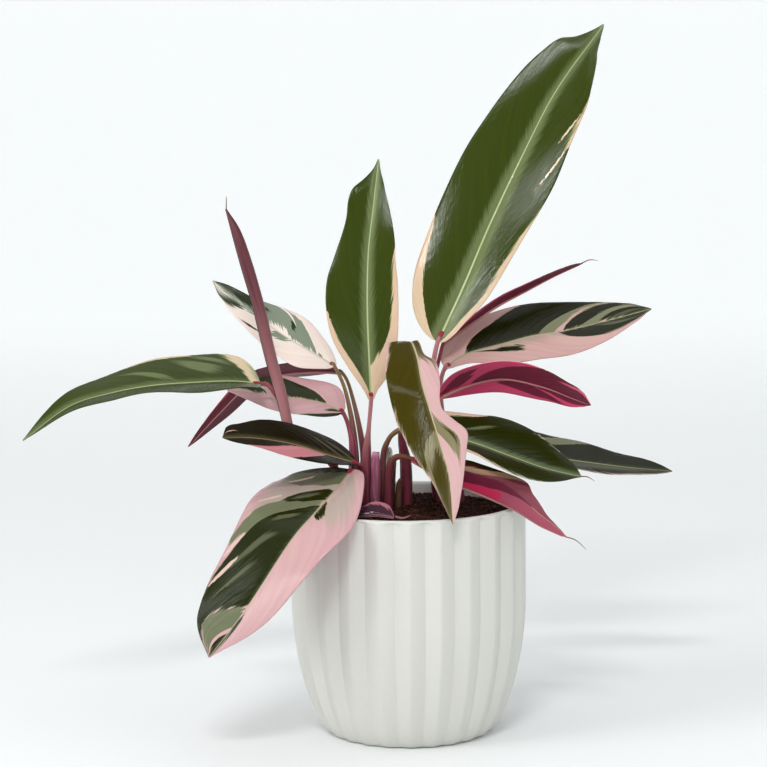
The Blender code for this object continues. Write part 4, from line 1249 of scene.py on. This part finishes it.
def run_tree(made, tree, shape, material, **values):
    """Ends a tree with real geometry in its material, and runs it on an object for good."""
    real = add_node(tree, "GeometryNodeRealizeInstances", {0: shape})
    finished = add_node(tree, "GeometryNodeSetMaterial", {"Geometry": real, "Material": material})
    add_node(tree, "NodeGroupOutput", {0: finished})
    modifier = made.modifiers.new(tree.name, "NODES")
    modifier.node_group = tree
    for item in tree.interface.items_tree:
        name = item.name.replace(" ", "_")
        if item.in_out == "INPUT" and name in values:
            modifier[item.identifier] = values[name]
    return made_plain(made)


def belly(height, sizes):
    """The pot's outer radius at this height, to the crests of its ribs."""
    drop = np.clip((BELLY_HEIGHT - height) / BELLY_HEIGHT, 0, 1)
    spread = (1 - drop**BELLY_POWER) ** (1 / BELLY_POWER)
    return sizes.foot_radius + (sizes.radius - sizes.foot_radius) * spread


def pot_profile(sizes):
    """Rows of (radius, height, share of ribs) from under the foot, over the lip, to inside."""
    foot, lip_start = sizes.foot_radius, sizes.height - LIP_ROUND
    low = BELLY_HEIGHT * (1 - np.cos(np.linspace(BELLY_START, np.pi / 2, BELLY_ROWS)))
    wall = np.concatenate((low, np.linspace(BELLY_HEIGHT + 4, lip_start, WALL_ROWS)))
    ribbed = np.minimum(1.0, RIBS_AT_FOOT + wall / BELLY_HEIGHT)
    ribbed *= np.clip((sizes.height - wall) / RIBS_END, 0, 1) ** RIBS_END_POWER
    arc = np.linspace(0, np.pi, LIP_ROWS + 1)[1:]
    middle = sizes.radius - WALL / 2 + WALL / 2 * np.cos(arc)
    fading = np.clip(LIP_ROUND * (1 - np.sin(arc)) / RIBS_END, 0, 1) * (arc < np.pi / 2)
    down = np.linspace(lip_start - 2, FLOOR, WALL_ROWS)
    return np.vstack((
        ((0, FOOT_HOLLOW, 0), *((foot - inset, height, 0) for inset, height in FOOT_RING)),
        np.stack((belly(wall, sizes), wall, ribbed), axis=1),
        np.stack((middle, lip_start + LIP_ROUND * np.sin(arc), fading), axis=1),
        np.stack((belly(down, sizes) - WALL, down, 0 * down), axis=1),
        ((0, FLOOR, 0),),
    ))


def make_pot(sizes):
    """The pot: a turned wall with a round lip, pressed inwards between its ribs.

    Each rib lies between half a cosine wave and two straight flanks, so that two ribs meet
    in a crease and each has a light and a shaded flank.
    """
    profile = pot_profile(sizes)

    def place(across, along):
        points, row = turned(profile, across, along)
        return points, {"ribbed": profile[row, 2]}

    mesh = surface_mesh("pot_ribbed", sizes.ribs * RIB_STEPS, len(profile) - 1, place, seam=True)
    pot = new_object("pot_ribbed", mesh)
    tree, given = new_tree("Pot ribs", Ribs="Int", Depth="Float")
    position = add_node(tree, "GeometryNodeInputPosition")
    x, y, _ = add_node(tree, "ShaderNodeSeparateXYZ", {0: position}).outputs
    bearing = add_node(tree, "ShaderNodeMath", {0: y, 1: x}, operation="ARCTAN2")
    half_ribs = add_node(tree, "ShaderNodeMath", {0: given["Ribs"], 1: 0.5}, operation="MULTIPLY")
    turns = add_node(tree, "ShaderNodeMath", {0: bearing, 1: half_ribs}, operation="MULTIPLY")
    wave = add_node(tree, "ShaderNodeMath", {0: turns}, operation="COSINE")
    crest = add_node(tree, "ShaderNodeMath", {0: wave}, operation="ABSOLUTE")
    rounded = add_node(tree, "ShaderNodeMath", {0: crest, 1: 1.0}, operation="SUBTRACT")
    folded = add_node(tree, "ShaderNodeMath", {0: turns, 1: math.pi / 2}, operation="PINGPONG")
    straight = add_node(tree, "ShaderNodeMath", {0: folded, 1: -2 / math.pi}, operation="MULTIPLY")
    dip = add_node(tree, "ShaderNodeMix", {"Factor": RIB_FLANKS, 2: rounded, 3: straight}, data_type="FLOAT")
    depth = add_node(tree, "ShaderNodeMath", {0: dip, 1: given["Depth"]}, operation="MULTIPLY")
    share = add_node(tree, "GeometryNodeInputNamedAttribute", {"Name": "ribbed"}, data_type="FLOAT")
    press = add_node(tree, "ShaderNodeMath", {0: depth, 1: share}, operation="MULTIPLY")
    outward = add_node(tree, "ShaderNodeCombineXYZ", {0: x, 1: y})
    heading = add_node(tree, "ShaderNodeVectorMath", {0: outward}, operation="NORMALIZE")
    inward = add_node(tree, "ShaderNodeVectorMath", {0: heading, "Scale": press}, operation="SCALE")
    pressed = add_node(tree, "GeometryNodeSetPosition", {"Geometry": given[0], "Offset": inward})
    glaze = glazed_earthenware(sizes.glaze)
    run_tree(pot, tree, pressed, glaze, Ribs=sizes.ribs, Depth=sizes.rib_depth * MM)
    pot.data.shade_smooth()
    pot.data.set_sharp_from_angle(angle=math.radians(SHARP_EDGE))
    stands_for(pot, "pot")


def soil_height(x, y):
    """The soil's surface: level in the middle, lower at the wall, and lumpy."""
    radius = np.hypot(x, y)
    level = SOIL_TOP - (SOIL_TOP - SOIL_EDGE) * smooth(radius, SOIL_FLAT - 8, SOIL_FLAT + 12)
    lumps = 0.0
    draw = random.Random(LUMP_SEED)
    for k in range(LUMPS):
        size = LUMP_SIZE[0] + LUMP_SIZE[1] * k
        bearing, phase = draw.uniform(0, 2 * math.pi), draw.uniform(0, 2 * math.pi)
        along = (x * math.cos(bearing) + y * math.sin(bearing)) * 2 * np.pi / size
        lumps = lumps + LUMP_HEIGHT * np.sin(along + phase + LUMP_BEND * np.sin(y / size + phase))
    return level + lumps


def strewn(tree, given, thing, least_turn, most_turn, scale):
    """Copies of a thing at random places on the top of a mesh, each turned its own way."""
    top = add_node(tree, "GeometryNodeInputNamedAttribute", {"Name": "top"}, data_type="FLOAT")
    spots = add_node(tree, "GeometryNodeDistributePointsOnFaces", {
        "Mesh": given[0], "Selection": top, "Density": given["Density"], "Seed": given["Seed"],
    })
    lying = {0: least_turn, 1: most_turn, "Seed": given["Seed"]}
    facing = add_node(tree, "FunctionNodeRandomValue", lying, data_type="FLOAT_VECTOR")
    copies = {"Points": spots, "Instance": thing, "Rotation": facing, "Scale": scale}
    return add_node(tree, "GeometryNodeInstanceOnPoints", copies)


def soil_bed(pot):
    """A lumpy bed that fills the pot; its level top is marked for what is strewn on it."""
    edge = pot.radius - WALL - 2 * GAP
    low = FLOOR + GAP
    below = [(belly(z, pot) - WALL - 2 * GAP, z) for z in np.linspace(SOIL_EDGE - 3, low, SIDE_ROWS)]
    across_top = np.linspace(0, edge, TOP_ROWS)
    profile = np.array([*((r, 0) for r in across_top), *below, (0, low)])

    def place(across, along):
        points, row = turned(profile, across, along)
        top = row < len(across_top)
        points[:, 2] = np.where(top, soil_height(points[:, 0], points[:, 1]), points[:, 2])
        return points, {"top": np.where(top & (profile[row, 0] < edge - 2), 1.0, 0.0)}

    return surface_mesh("soil_bed", BED_COLUMNS, len(profile) - 1, place, seam=True)


def make_soil(sizes, pot):
    """The soil: its bed, heaped with crumbs, and husk fibres over it."""
    mesh = soil_bed(pot)
    bed = new_object("soil_bed", mesh)
    fibres = new_object("soil_fibres", mesh.copy())

    tree, given = new_tree("Crumbs", Density="Float", Size="Float", Seed="Int")
    lump = add_node(tree, "GeometryNodeMeshIcoSphere", {"Radius": given["Size"], "Subdivisions": 1})
    stretched = {0: CRUMB_SHAPES[0], 1: CRUMB_SHAPES[1], "Seed": given["Seed"]}
    scale = add_node(tree, "FunctionNodeRandomValue", stretched, data_type="FLOAT_VECTOR")
    crumbs = strewn(tree, given, lump, (0, 0, 0), (math.tau, math.tau, math.tau), scale)
    heap = add_node(tree, "GeometryNodeJoinGeometry", {0: given[0]})
    tree.links.new(crumbs.outputs[0], heap.inputs[0])
    compost = coir("damp coir compost", sizes.dark, sizes.light, CRUMB_GRAIN)
    density = sizes.crumbs / MM**2
    run_tree(bed, tree, heap, compost, Density=density, Size=sizes.crumb_size * MM, Seed=CRUMB_SEED)
    stands_for(bed, "soil")

    tree, given = new_tree("Fibres", Density="Float", Length="Float", Thickness="Float", Seed="Int")
    bow = {"Resolution": 5, "Start": (-0.5, 0, -0.08), "Middle": (0, 0.2, 0.3), "End": (0.5, 0, -0.08)}
    arch = add_node(tree, "GeometryNodeCurveQuadraticBezier", bow)
    ring = add_node(tree, "GeometryNodeCurvePrimitiveCircle", {"Resolution": 3, "Radius": given["Thickness"]})
    strand = {"Curve": arch, "Profile Curve": ring, "Fill Caps": True}
    fibre = add_node(tree, "GeometryNodeCurveToMesh", strand)
    uneven = {2: FIBRE_LENGTHS[0], 3: FIBRE_LENGTHS[1], "Seed": given["Seed"]}
    long = add_node(tree, "FunctionNodeRandomValue", uneven, data_type="FLOAT").outputs[1]
    size = add_node(tree, "ShaderNodeMath", {0: long, 1: given["Length"]}, operation="MULTIPLY")
    roll, tip = FIBRE_TILT
    lying = strewn(tree, given, fibre, (-roll, -tip, 0), (roll, tip, math.tau), size)
    husk = coir("coconut husk fibre", sizes.dark, sizes.fibre, HUSK_GRAIN)
    run_tree(
        fibres, tree, lying, husk, Density=sizes.fibres / MM**2,
        Length=sizes.fibre_length * MM, Thickness=sizes.fibre_thickness, Seed=FIBRE_SEED,
    )
    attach(fibres, BODY)


def tube_mesh(name, route, radii, rows, sides=16, section=None, measure=None):
    """A closed tube along a smooth route.

    section gives its radius factor and measure its stored values, both round and along.
    """
    steps = np.linspace(0.0, 1.0, rows + 1)
    centres = through(route, steps)
    onward, back = np.minimum(steps + TUBE_STEP, 1), np.maximum(steps - TUBE_STEP, 0)
    ahead = unit(through(route, onward) - through(route, back))
    sideways = np.cross(ahead[0], TUBE_SEAM)
    carried = np.empty_like(ahead)
    for k, heading in enumerate(ahead):
        sideways = sideways - heading * sideways.dot(heading)
        sideways = sideways / np.linalg.norm(sideways)
        carried[k] = sideways
    third = np.cross(ahead, carried)

    def place(around, along):
        row = np.rint(along * rows).astype(int)
        radius = through(radii, along)[:, 0] * (section(around, along) if section else 1)
        turn = around * 2 * np.pi
        out = carried[row] * np.cos(turn)[:, None] + third[row] * np.sin(turn)[:, None]
        return centres[row] + out * radius[:, None], measure(around, along) if measure else {}

    return surface_mesh(name, sides, rows, place, seam=True)


def blade_frame(blade, along):
    """The midrib's points, and the directions up and right of it, at these shares."""
    centre = through(blade["midrib"], along)
    before = through(blade["midrib"], along - HEADING_STEP)
    ahead = unit(through(blade["midrib"], along + HEADING_STEP) - before)
    base, middle, tip = np.broadcast_to(np.array(blade["face"]), (3, 3))
    share = along[:, None] * 2
    up = np.where(share < 1, base + (middle - base) * share, middle + (tip - middle) * (share - 1))
    up = unit(up - ahead * (ahead * up).sum(axis=1)[:, None])
    return centre, up, np.cross(ahead, up)


def zone_depth(zones, tone, vein, out, half, length):
    """How deep inside a half's zones of a tone each point lies, in mm; below 0 is outside."""
    deepest = np.full_like(vein, -FAR)
    for rows in (rows for kind, rows in zones if kind == tone):
        stations, inner, outer = np.array(rows, dtype=float).T
        low, high = np.interp(vein, stations, inner), np.interp(vein, stations, outer)
        depth = np.where(low > 0.001, (out - low) * half * ALONG_VEIN, FAR)
        depth = np.minimum(depth, np.where(high < 0.999, (high - out) * half * ALONG_VEIN, FAR))
        if stations[0] > OPEN_VEIN:
            depth = np.minimum(depth, (vein - stations[0]) * length)
        if stations[-1] < 1:
            depth = np.minimum(depth, (stations[-1] - vein) * length)
        deepest = np.maximum(deepest, depth)
    return np.clip(deepest, -FAR, FAR)


def blade_mesh(name, blade):
    """A blade's upper surface, with the measures that its pattern is drawn from."""
    length = length_of(through(blade["midrib"], np.linspace(0, 1, 60)))
    outline = np.array((OUTLINE_START, *blade["outline"], OUTLINE_END), dtype=float)
    stations = np.sqrt(outline[:, 0])
    height, waves, phase = blade["ripple"]
    inner, outer = blade["blush"]

    def place(across, spread):
        along = spread - CROWDING * np.sin(2 * np.pi * spread) / (2 * np.pi)
        signed = across * 2 - 1
        on_right = signed > 0
        out, side = np.abs(signed), np.where(on_right, 1.0, -1.0)
        root = np.sqrt(np.clip(along, 0, 1))
        widths = [eased(stations, outline[:, k], root) for k in (1, 2)]
        half = np.where(on_right, widths[1], widths[0])
        vein = along - VEIN_LEAN * (VEIN_START * out + VEIN_SWEEP * out**2)
        reach = out * half
        wave = np.sin(2 * np.pi * waves * along + phase + side)
        lift = height * out**2 * wave * np.minimum(1, half / RIPPLE_FADES)
        pleats = PLEAT_HEIGHT * np.sin(2 * np.pi * vein * length / PLEAT)
        lift += pleats * np.minimum(1, reach / MIDRIB_FADES) * (1 - PLEATS_FADE * out)
        lift -= FURROW * np.exp(-(reach / FURROW_WIDTH) ** 2) * np.minimum(1, half / MIDRIB_FADES)
        rise = np.radians(blade["fold"]) + np.radians(blade["bend"]) * out / 2
        centre, up, rightward = blade_frame(blade, along)
        points = centre + rightward * (side * reach * np.cos(rise))[:, None]
        points += up * (reach * np.sin(rise) + lift)[:, None]

        def depths(where, *tones):
            return [zone_depth(blade[where], tone, vein, out, half, length) for tone in tones]

        # depth in the silver zones, which paint highlights, and in the veil zones
        silver_and_glint, veil = np.where(on_right, depths("right", "silver_and_glint", "veil"), depths("left", "silver_and_glint", "veil"))
        pale_line = PALE_LINE - PALE_LINE_TAPER * along - reach
        feather = through(blade.get("feather", (0, 0, 0)), along)[:, 0] - reach
        return points, {
            "vein": np.stack((vein * length, reach * side, silver_and_glint), axis=1),
            "left_zones": np.stack(depths("left", "green", "grey", "pale"), axis=1),
            "right_zones": np.stack(depths("right", "green", "grey", "pale"), axis=1),
            "lines": np.stack((pale_line, feather, veil), axis=1),
            "blush": inner + (outer - inner) * out,
        }

    columns = WIDE_COLUMNS if outline[:, 1:].max() > WIDE else NARROW_COLUMNS
    return surface_mesh(name, columns, int(np.clip(length / ROW_STEP, *BLADE_ROWS)), place)


def rib_mesh(name, blade, radius):
    """The midrib, raised on the blade's underside and tapering to its tip."""
    shares = np.linspace(0, RIB_END, 12)
    centre, up, _ = blade_frame(blade, shares)
    radii = radius * (1 - RIB_TAPER * shares**0.7)
    middle = centre - up * (radii + FURROW + RIB_STANDS_OFF)[:, None]
    return tube_mesh(name, middle, radii, 60, sides=10)


def make_leaf(name, blade, sides, rib_material, sizes):
    """One leaf blade: its surface with its thickness, and its midrib."""
    upper, under = sides[blade["palette"]]
    leaf = new_object("blade_" + name, blade_mesh("blade_" + name, blade), upper, under)
    skin = leaf.modifiers.new("thickness", "SOLIDIFY")
    skin.thickness = sizes.thickness * MM
    skin.offset = -1.0
    skin.material_offset = 1
    skin.material_offset_rim = 0
    made_plain(leaf)
    radius = FALLEN_STALK["radii"][0] * FALLEN_RIB_SHARE
    if name in STALKS:
        radius = STALKS[name]["radii"][-1] * RIB_SHARE
    rib = new_object("rib_" + name, rib_mesh("rib_" + name, blade, radius), rib_material)
    joined([leaf, rib])
    stands_for(leaf, "leaf_" + name)


def rooted(route):
    """A route that starts on the soil, carried on to a little way under it."""
    x, y, z = route[0]
    return ((x, y, z - (SOIL_TOP - SOIL_EDGE)), *route[1:])


def make_stalk(name, stalk, finish, blade):
    """A stalk: its sheath wraps it at the foot, and its swollen joint carries the blade."""
    if "midrib" in blade:
        centre, up, _ = blade_frame(blade, np.array(UNDER_BLADE))
        onward = centre - up * stalk["radii"][-1] * BLADE_OVER
    else:
        onward = through(blade["route"], np.array(UNDER_FURLED))
    route = (*rooted(stalk["route"]), *onward)
    length = length_of(through(route, np.linspace(0, 1, 80)))
    radii = (*stalk["radii"], stalk["radii"][-1])
    if len(radii) < len(route):
        radii = (radii[0], *radii)
    joint = SWOLLEN / length

    def section(around, along):
        wrap = SHEATH_WRAP * around * (1 - smooth(along, *SHEATH_ENDS))
        ridge = RIDGE_HEIGHT * np.cos(around * 2 * np.pi * RIDGES)
        swell = SWELLING * smooth(along, 1 - JOINT_START * joint, 1 - JOINT_FULL * joint)
        return 1 + wrap + ridge + swell - NECK * smooth(along, 1 - NECK_START * joint, 1)

    def measure(around, along):
        return {
            "upper_end": smooth(along, 1 - JOINT_START * joint, 1 - JOINT_COLOURED * joint),
            "sheathed": FOOT_COLOUR * (1 - smooth(along, *FOOT_COLOUR_ENDS)),
        }

    rows = int(np.clip(length / STALK_STEP, *STALK_ROWS))
    mesh = tube_mesh("stalk_" + name, route, radii, rows, STALK_SIDES, section, measure)
    stands_for(new_object("grown_stalk_" + name, mesh, finish), "stalk_" + name)


def make_rolled_leaf(finish):
    """The furled leaf: a blade still rolled round itself, with its free edge in a spiral seam."""

    def section(around, along):
        wave = FURLED_WAVE * np.sin(2 * np.pi * (FURLED_WAVES * along + around)) * (1 - along)
        return FURLED_INNER + FURLED_STEP * around + wave

    def measure(around, along):
        return {
            "upper_end": smooth(around, *FURLED_EDGE),
            "sheathed": FURLED_FOOT * (1 - smooth(along, *FURLED_FOOT_ENDS)),
        }

    mesh = tube_mesh("furled_blade", ROLLED["route"], ROLLED["radii"], 150, 28, section, measure)
    stands_for(new_object("furled_blade", mesh, finish), "leaf_rolled")


def make_sheath(name, sheath, finish):
    """A sheath whose blade is gone: flattened and creased, and torn off at a ragged top."""
    draw = random.Random(len(name))
    teeth = [draw.uniform(SHORTEST_TOOTH, 1.0) for _ in range(TEETH)]
    route = rooted(sheath["route"])

    def section(around, along):
        crease = sum(
            depth * np.cos(around * 2 * np.pi * count + turn * along) for depth, count, turn in CREASES
        )
        return CREASED_INNER + SHEATH_WRAP * around + crease

    def measure(around, along):
        return {"upper_end": smooth(along, *TORN_COLOUR_ENDS)}

    mesh = tube_mesh(name, route, sheath["radii"], 50, 27, section, measure)
    top = max(vertex.co.z for vertex in mesh.vertices)
    for vertex in mesh.vertices:
        bearing = math.atan2(vertex.co.y - route[0][1] * MM, vertex.co.x - route[0][0] * MM) / math.tau % 1
        drop = teeth[int(bearing * TEETH) % TEETH] * TOOTH * MM
        vertex.co.z -= drop * max(0.0, 1 - (top - vertex.co.z) / (TORN * MM))
    stands_for(new_object("grown_" + name, mesh, finish), name)


def make_dried_tip(leaf_name, start, end, finish):
    """The dried thread that a furled tip keeps: a fine brown tube with a slight bend."""
    start, end = np.array(start, dtype=float), np.array(end, dtype=float)
    middle = (start + end) / 2 + (0, 0, np.linalg.norm(end - start) * TIP_BEND)
    mesh = tube_mesh("hair_" + leaf_name, (start, middle, end), TIP_RADII, 10, 6)
    made = new_object("dried_tip_" + leaf_name, mesh, finish)
    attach(made, BODY)


def make_fallen_stalk(finish):
    """The thin stalk of the fallen leaf, lying on the soil."""

    def measure(around, along):
        return {"upper_end": 0.6 * smooth(along, 0.7, 1.0)}

    mesh = tube_mesh("stalk_fallen", FALLEN_STALK["route"], FALLEN_STALK["radii"], 24, 12, None, measure)
    stands_for(new_object("grown_stalk_fallen", mesh, finish), "stalk_fallen")


def make_floor(colour):
    """A round floor that sweeps up to a low wall, so that no edge of it shows from any side."""
    bend = np.linspace(0, np.pi / 2, 16)
    profile = np.array([
        (0.0, 0.0),
        *((FLOOR_RADIUS + SWEEP_RADIUS * math.sin(t), SWEEP_RADIUS * (1 - math.cos(t))) for t in bend),
        (FLOOR_RADIUS + SWEEP_RADIUS, SWEEP_RADIUS + WALL_HEIGHT),
    ]) / MM

    def place(across, along):
        return turned(profile, across, along)[0], {}

    mesh = surface_mesh("studio_floor", 128, len(profile) - 1, place)
    new_object("studio_floor", mesh, studio_paper(colour))


def add_light(name, place, target, size, power):
    """A soft rectangular light, unseen by the camera."""
    lamp = bpy.data.lights.new(name, "AREA")
    lamp.shape = "RECTANGLE"
    lamp.size, lamp.size_y = size
    lamp.energy = power
    made = bpy.data.objects.new(name, lamp)
    bpy.context.scene.collection.objects.link(made)
    made.location = place
    made.rotation_mode = "QUATERNION"
    made.rotation_quaternion = (Vector(target) - Vector(place)).to_track_quat("-Z", "Y")
    made.visible_camera = False


def make_stage(sizes):
    """The floor, the lights and the camera."""
    make_floor(sizes.paper)
    for name, place, target, size, power in LIGHTS:
        add_light(name, place, target, size, power * sizes.brightness)
    world = bpy.data.worlds.new("studio air")
    world.use_nodes = True
    sky = world.node_tree.nodes["Background"]
    sky.inputs["Color"].default_value = (*sizes.air, 1.0)
    sky.inputs["Strength"].default_value = sizes.air_strength
    bpy.context.scene.world = world
    bpy.context.scene.view_settings.view_transform = "Standard"

    camera = bpy.data.cameras.new("camera")
    camera.lens = LENS
    made = bpy.data.objects.new("camera", camera)
    bpy.context.scene.collection.objects.link(made)
    forward = Vector((0, math.cos(CAMERA_DIP), -math.sin(CAMERA_DIP)))
    level_up = Vector((0, math.sin(CAMERA_DIP), math.cos(CAMERA_DIP)))
    level_right = Vector((1, 0, 0))
    right = level_right * math.cos(CAMERA_ROLL) - level_up * math.sin(CAMERA_ROLL)
    up = level_right * math.sin(CAMERA_ROLL) + level_up * math.cos(CAMERA_ROLL)
    turn = Matrix((right, up, -forward)).transposed().to_4x4()
    made.matrix_world = Matrix.Translation(CAMERA_PLACE) @ turn
    bpy.context.scene.camera = made


def length_property(name, description, default, **limits):
    """A size in mm that a user may change."""
    return FloatProperty(name=name, description=description, default=default, min=0.0, **limits)


def colour_property(name, description, code):
    """A colour that a user may change."""
    return FloatVectorProperty(
        name=name, description=description, default=linear(code)[:3], subtype="COLOR", min=0.0, max=1.0
    )


class StromanthePotSettings(bpy.types.PropertyGroup):
    """Sizes and glaze of the pot."""

    height: length_property("Height", "Height of the pot, in mm", 163.0)
    radius: length_property("Radius", "Radius over the ribs, in mm", 82.5)
    foot_radius: length_property("Foot radius", "Radius of the flat foot, in mm", 55.5)
    ribs: IntProperty(name="Ribs", description="Number of ribs round the pot", default=24, min=3)
    rib_depth: length_property("Rib depth", "How far the creases lie in from the crests, in mm", 3.6)
    glaze: colour_property("Glaze", "Colour of the glaze", "#cbcbc4")


class StromantheSoilSettings(bpy.types.PropertyGroup):
    """Grain and colour of the soil."""

    crumbs: FloatProperty(name="Crumbs", description="Crumbs on each square mm", default=0.16, min=0.0)
    crumb_size: length_property("Crumb size", "Radius of a middling crumb, in mm", 1.5)
    fibres: FloatProperty(name="Fibres", description="Fibres on each square mm", default=0.035, min=0.0)
    fibre_length: length_property("Fibre length", "Length of a middling fibre, in mm", 9.0)
    fibre_thickness: FloatProperty(
        name="Fibre thickness", description="Radius as a share of a fibre's length", default=0.02, min=0.0
    )
    dark: StringProperty(name="Dark", description="Hex colour of the wet crumbs", default="#1d0d09")
    light: StringProperty(name="Light", description="Hex colour of the husk", default="#552a1c")
    fibre: StringProperty(name="Fibre", description="Hex colour of the fibres", default="#9a6044")


class StromantheLeafSettings(bpy.types.PropertyGroup):
    """Make of the leaf blades."""

    thickness: length_property("Thickness", "Thickness of a blade, in mm", 0.45)
    hair: StringProperty(name="Dried tips", description="Hex colour of the dried threads", default="#5a3b22")


class StromantheStalkSettings(bpy.types.PropertyGroup):
    """Colours of the stalks and sheaths, as hex codes."""

    foot: StringProperty(name="Foot", description="Hex colour of the wrapped foot", default="#71293d")
    joint: StringProperty(name="Joint", description="Hex colour of the swollen joint", default="#8f2237")
    dried: StringProperty(name="Dried", description="Hex colour of dried sheaths", default="#4a3227")


class StromantheStageSettings(bpy.types.PropertyGroup):
    """Floor and light of the studio."""

    paper: colour_property("Paper", "Colour of the floor", "#eceeee")
    air: colour_property("Air", "Colour of the light from all round", "#f4f6f8")
    air_strength: FloatProperty(
        name="Air strength", description="Strength of that light", default=0.6, min=0.0
    )
    brightness: FloatProperty(name="Brightness", description="Factor on all lamps", default=1.0, min=0.0)


class STROMANTHE_OT_pot(bpy.types.Operator):
    """Make the ribbed pot"""

    bl_idname = "stromanthe.pot"
    bl_label = "Pot"

    def execute(self, context):
        make_pot(context.scene.stromanthe_pot)
        return {"FINISHED"}


class STROMANTHE_OT_soil(bpy.types.Operator):
    """Fill the pot with soil, crumbs and fibres"""

    bl_idname = "stromanthe.soil"
    bl_label = "Soil"

    def execute(self, context):
        make_soil(context.scene.stromanthe_soil, context.scene.stromanthe_pot)
        return {"FINISHED"}


class STROMANTHE_OT_leaves(bpy.types.Operator):
    """Grow the open leaf blades, with their patterns"""

    bl_idname = "stromanthe.leaves"
    bl_label = "Leaves"

    def execute(self, context):
        settings = context.scene.stromanthe_leaf
        sides = {name: (upper_side(name, tones), under_side(name, tones)) for name, tones in PALETTES.items()}
        rib = fibrous("raised midrib", "#8f4a58", "#b58a7c", "#b58a7c", "#b58a7c", 0.4)
        for name, blade in BLADES.items():
            make_leaf(name, blade, sides, rib, settings)
        thread = fibrous("dried leaf tip", settings.hair, "#7a5433", "#7a5433", "#7a5433", 0.6)
        for name, (start, end) in DRIED_TIPS.items():
            make_dried_tip(name, start, end, thread)
        return {"FINISHED"}


class STROMANTHE_OT_furled_leaf(bpy.types.Operator):
    """Make the leaf that is still rolled up"""

    bl_idname = "stromanthe.furled_leaf"
    bl_label = "Furled leaf"

    def execute(self, context):
        make_rolled_leaf(fibrous("furled leaf", "#4b2227", "#65363d", "#3a151c", "#946264", 0.4))
        return {"FINISHED"}


class STROMANTHE_OT_stalks(bpy.types.Operator):
    """Grow a stalk for each leaf"""

    bl_idname = "stromanthe.stalks"
    bl_label = "Stalks"

    def execute(self, context):
        settings = context.scene.stromanthe_stalk
        tissues = {
            name: fibrous(name + " petiole", low, high, settings.joint, settings.foot, 0.38)
            for name, (low, high) in PETIOLES.items()
        }
        for name, stalk in STALKS.items():
            make_stalk(name, stalk, tissues[stalk["tissue"]], BLADES.get(name, ROLLED))
        make_fallen_stalk(tissues["pink"])
        return {"FINISHED"}


class STROMANTHE_OT_sheaths(bpy.types.Operator):
    """Make the torn sheath and the dried ones"""

    bl_idname = "stromanthe.sheaths"
    bl_label = "Sheaths"

    def execute(self, context):
        settings = context.scene.stromanthe_stalk
        torn = fibrous("torn sheath", "#8a4258", "#a8687f", "#c48a9c", settings.foot, 0.42)
        dried = fibrous(
            "dried sheath", settings.dried, "#6b4a38", "#7a5a44", "#3a231b", 0.45, DRIED_STREAK_WIDTH,
        )
        for name, sheath in SHEATHS.items():
            make_sheath(name, sheath, dried if "dried" in name else torn)
        return {"FINISHED"}


class STROMANTHE_OT_stage(bpy.types.Operator):
    """Set up the floor, the lights and the camera"""

    bl_idname = "stromanthe.stage"
    bl_label = "Stage"

    def execute(self, context):
        make_stage(context.scene.stromanthe_stage)
        return {"FINISHED"}


OPERATORS = (
    STROMANTHE_OT_stage,
    STROMANTHE_OT_pot,
    STROMANTHE_OT_soil,
    STROMANTHE_OT_leaves,
    STROMANTHE_OT_furled_leaf,
    STROMANTHE_OT_stalks,
    STROMANTHE_OT_sheaths,
)
SETTINGS = {
    "stromanthe_pot": StromanthePotSettings,
    "stromanthe_soil": StromantheSoilSettings,
    "stromanthe_leaf": StromantheLeafSettings,
    "stromanthe_stalk": StromantheStalkSettings,
    "stromanthe_stage": StromantheStageSettings,
}


class STROMANTHE_PT_panel(bpy.types.Panel):
    """Lists the settings and the steps"""

    bl_idname = "STROMANTHE_PT_panel"
    bl_label = "Potted stromanthe"
    bl_space_type = "VIEW_3D"
    bl_region_type = "UI"
    bl_category = "Stromanthe"

    def draw(self, context):
        for key, group in SETTINGS.items():
            box = self.layout.box()
            for name in group.__annotations__:
                box.prop(getattr(context.scene, key), name)
        for operator in OPERATORS:
            self.layout.operator(operator.bl_idname)


def register():
    for key, group in SETTINGS.items():
        bpy.utils.register_class(group)
        setattr(bpy.types.Scene, key, PointerProperty(type=group))
    for kind in (*OPERATORS, STROMANTHE_PT_panel):
        bpy.utils.register_class(kind)


def unregister():
    for kind in reversed((*OPERATORS, STROMANTHE_PT_panel)):
        bpy.utils.unregister_class(kind)
    for key, group in SETTINGS.items():
        delattr(bpy.types.Scene, key)
        bpy.utils.unregister_class(group)


def main():
    register()
    for operator in OPERATORS:
        group, step = operator.bl_idname.split(".")
        getattr(getattr(bpy.ops, group), step)()


if __name__ == "__main__":
    main()
